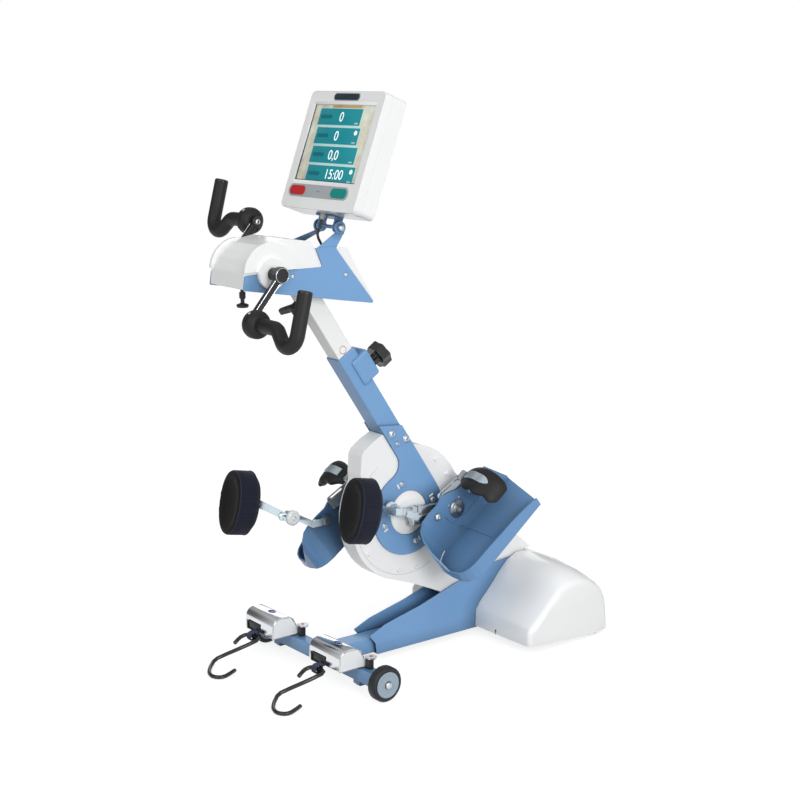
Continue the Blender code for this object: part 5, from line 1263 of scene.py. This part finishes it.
def rounded_line(points, radius, steps):
    """Corner points joined by arcs."""
    line = [points[0]]
    for before, here, after in zip(points, points[1:], points[2:]):
        first = (before - here).normalized()
        second = (after - here).normalized()
        half = first.angle(second) / 2
        reach = radius / math.tan(half)
        centre = here + (first + second).normalized() * (radius / math.sin(half))
        start = here + first * reach - centre
        end = here + second * reach - centre
        turn = start.angle(end)
        for step in range(steps + 1):
            share = step / steps
            line.append(centre + start * (math.sin((1 - share) * turn) / math.sin(turn))
                        + end * (math.sin(share * turn) / math.sin(turn)))
    return line + [points[-1]]


def grips():
    """Round hubs and bent foam grips."""
    for side, name in SIDES.items():
        body = name + "_handle"
        axis = HANDLE_AXIS[side]
        place = shift(axis)
        hub = settle(turned([(radius, HUB_LOW + height) for radius, height in HUB_PROFILE], 64), name + "_grip_hub",
                     FOAM, body, place @ outward(side), 30)
        line = [Vector((side * (HUB_MIDDLE + x), y, z)) for x, y, z in (
            (0, 0, 0), (0.072, 0, 0), (0.1405, -0.015, -0.063), (0.1385, 0.020, 0.078))]
        tip = (line[-1] - line[-2]).normalized()
        smooth = rounded_line(line, GRIP_BEND, 10)
        smooth[-1] = line[-1] - tip * 0.004
        tube = rod([place @ point for point in smooth], GRIP_RADIUS, name + "_grip_tube", FOAM, body, 7)
        settle(turned(END_PROFILE, 40), name + "_grip_end", BLACK_GLOSS, body,
               place @ shift(smooth[-1]) @ out_of(tip))
        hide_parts(body)
        tube.data.shade_smooth()
        screw(body + "_screw", axis + OUT[side] * (HUB_LOW + HUB_WIDTH - 0.0020), OUT[side], 0.0050, body, "steel",
              0.0026)
        screw(name + "_crank_pin_end", axis + OUT[side] * 0.0921, OUT[-side], 0.0058, "arm_crank", "steel", 0.0024)
        screw(name + "_grip_screw", axis + Vector((side * (HUB_MIDDLE - 0.001), -0.0150, 0.0228)),
              Vector((0, -0.55, 0.835)), 0.0030, body, "steel", 0.0016)


CRANK_LOW = 0.091
CRANK_HIGH = 0.105
CRANK_REACH = 0.1134


def arm_crank_arms():
    """Narrow black arms with bright edges, a round head with a chrome ring and a bush to the housing."""
    low, high = CRANK_LOW, CRANK_HIGH
    head = [(0, low), (0.0150, low), (0.0168, low + 0.0014), (0.0168, high - 0.0014), (0.0158, high), (0, high)]
    bush = [(0, 0.0721), (0.0125, 0.0721), (0.0125, low + 0.002), (0, low + 0.002)]
    boss = [(0, low), (0.0108, low), (0.0122, low + 0.0012), (0.0122, high - 0.0012), (0.0110, high), (0, high)]
    pin = [(0, low + 0.012), (0.0050, low + 0.012), (0.0050, 0.1270), (0, 0.1270)]
    ring = [(0.0140, 0.0), (0.0140, 0.0012), (0.0143, 0.0016), (0.0149, 0.0015), (0.0152, 0.0010), (0.0152, 0.0)]
    cover = [(0, 0.0010), (0.0060, 0.0012), (0.0122, 0.0015), (0.0137, 0.0010), (0.0139, -0.0004), (0, -0.0004)]
    for side, name in SIDES.items():
        label = name + "_crank_"
        far_end = -side * CRANK_REACH
        at_head = shift(ARM_AXIS) @ outward(side)
        at_end = ARM_CRANK_FRAME @ shift((0, far_end, 0)) @ outward(side)
        piece = settle(turned(head, 56), label + "head", BLACK_GLOSS, "arm_crank", at_head, 30)
        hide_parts(name + "_arm_crank")
        settle(turned(bush, 40), label + "neck", BLACK_PLASTIC, "arm_crank", at_head, 30)
        y_low, y_high = sorted((-side * 0.006, far_end))
        bar = side_block(side, (low + 0.0012, y_low, -0.0068), (high - 0.0012, y_high, 0.0068), 0.0016)
        settle(bar, label + "bar", BLACK_GLOSS, "arm_crank", ARM_CRANK_FRAME)
        settle(turned(boss, 48), label + "boss", BLACK_GLOSS, "arm_crank", at_end, 30)
        settle(turned(pin, 32), name + "_handle_pin", STEEL, "arm_crank", at_end, 30)
        settle(turned(ring, 56, True), label + "ring", CHROME, "arm_crank",
               shift(ARM_AXIS + OUT[side] * 0.1049) @ outward(side))
        settle(turned(cover, 48), label + "cover", BLACK_PLASTIC, "arm_crank",
               shift(ARM_AXIS + OUT[side] * 0.105) @ outward(side))
        for edge, height in (("low", -0.0062), ("high", 0.0062)):
            rod([ARM_CRANK_FRAME @ Vector((side * 0.1041, -side * reach, height)) for reach in (0.0160, 0.1030)],
                0.0011, label + "edge_" + edge, CHROME, "arm_crank")


# Smooth wall shading on the CAD's own shapes: each node's largest angle between faces that shade as one
SMOOTH_NODES = {
    "rear_cover": 50, "near_hook": 75, "far_hook": 75, "monitor_front": 35, "monitor_back": 35, "mast_knob": 32,
    "wing_knob": 32, "near_wheel": 40, "far_wheel": 40, "near_calf_arm": 24, "far_calf_arm": 24, "monitor_cable": 75,
    "lock_plunger": 40, "wheel_axle": 32, "near_rear_foot": 32, "far_rear_foot": 32,
}


def finish_walls():
    """The nodes' own shapes with their doubled points merged, so that round walls shade round."""
    record = frame["record"]
    body_of = {node: body for body, members in record["behaviour"]["bodies"].items() for node in members}
    for node, angle in SMOOTH_NODES.items():
        shape = bmesh.new()
        shape.from_mesh(frame["nodes"][node].data)
        bmesh.ops.remove_doubles(shape, verts=shape.verts, dist=2e-6)
        piece = settle(shape, node + "_finished", NODE_FINISH[node], body_of[node], smooth=angle)
        even = piece.modifiers.new("flat_faces_stay_flat", "WEIGHTED_NORMAL")
        even.keep_sharp = True
        even.weight = 80
        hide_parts(node)


wheel_discs()
display()
monitor_trim()
calf_pads()
crank_fittings()
foot_details()
shell_marks()
claws()
calf_arm_fittings()
reel_fittings()
strap_loops()
lever_fittings()
case_details()
hood_details()
tube_brackets()
grips()
arm_crank_arms()
finish_walls()
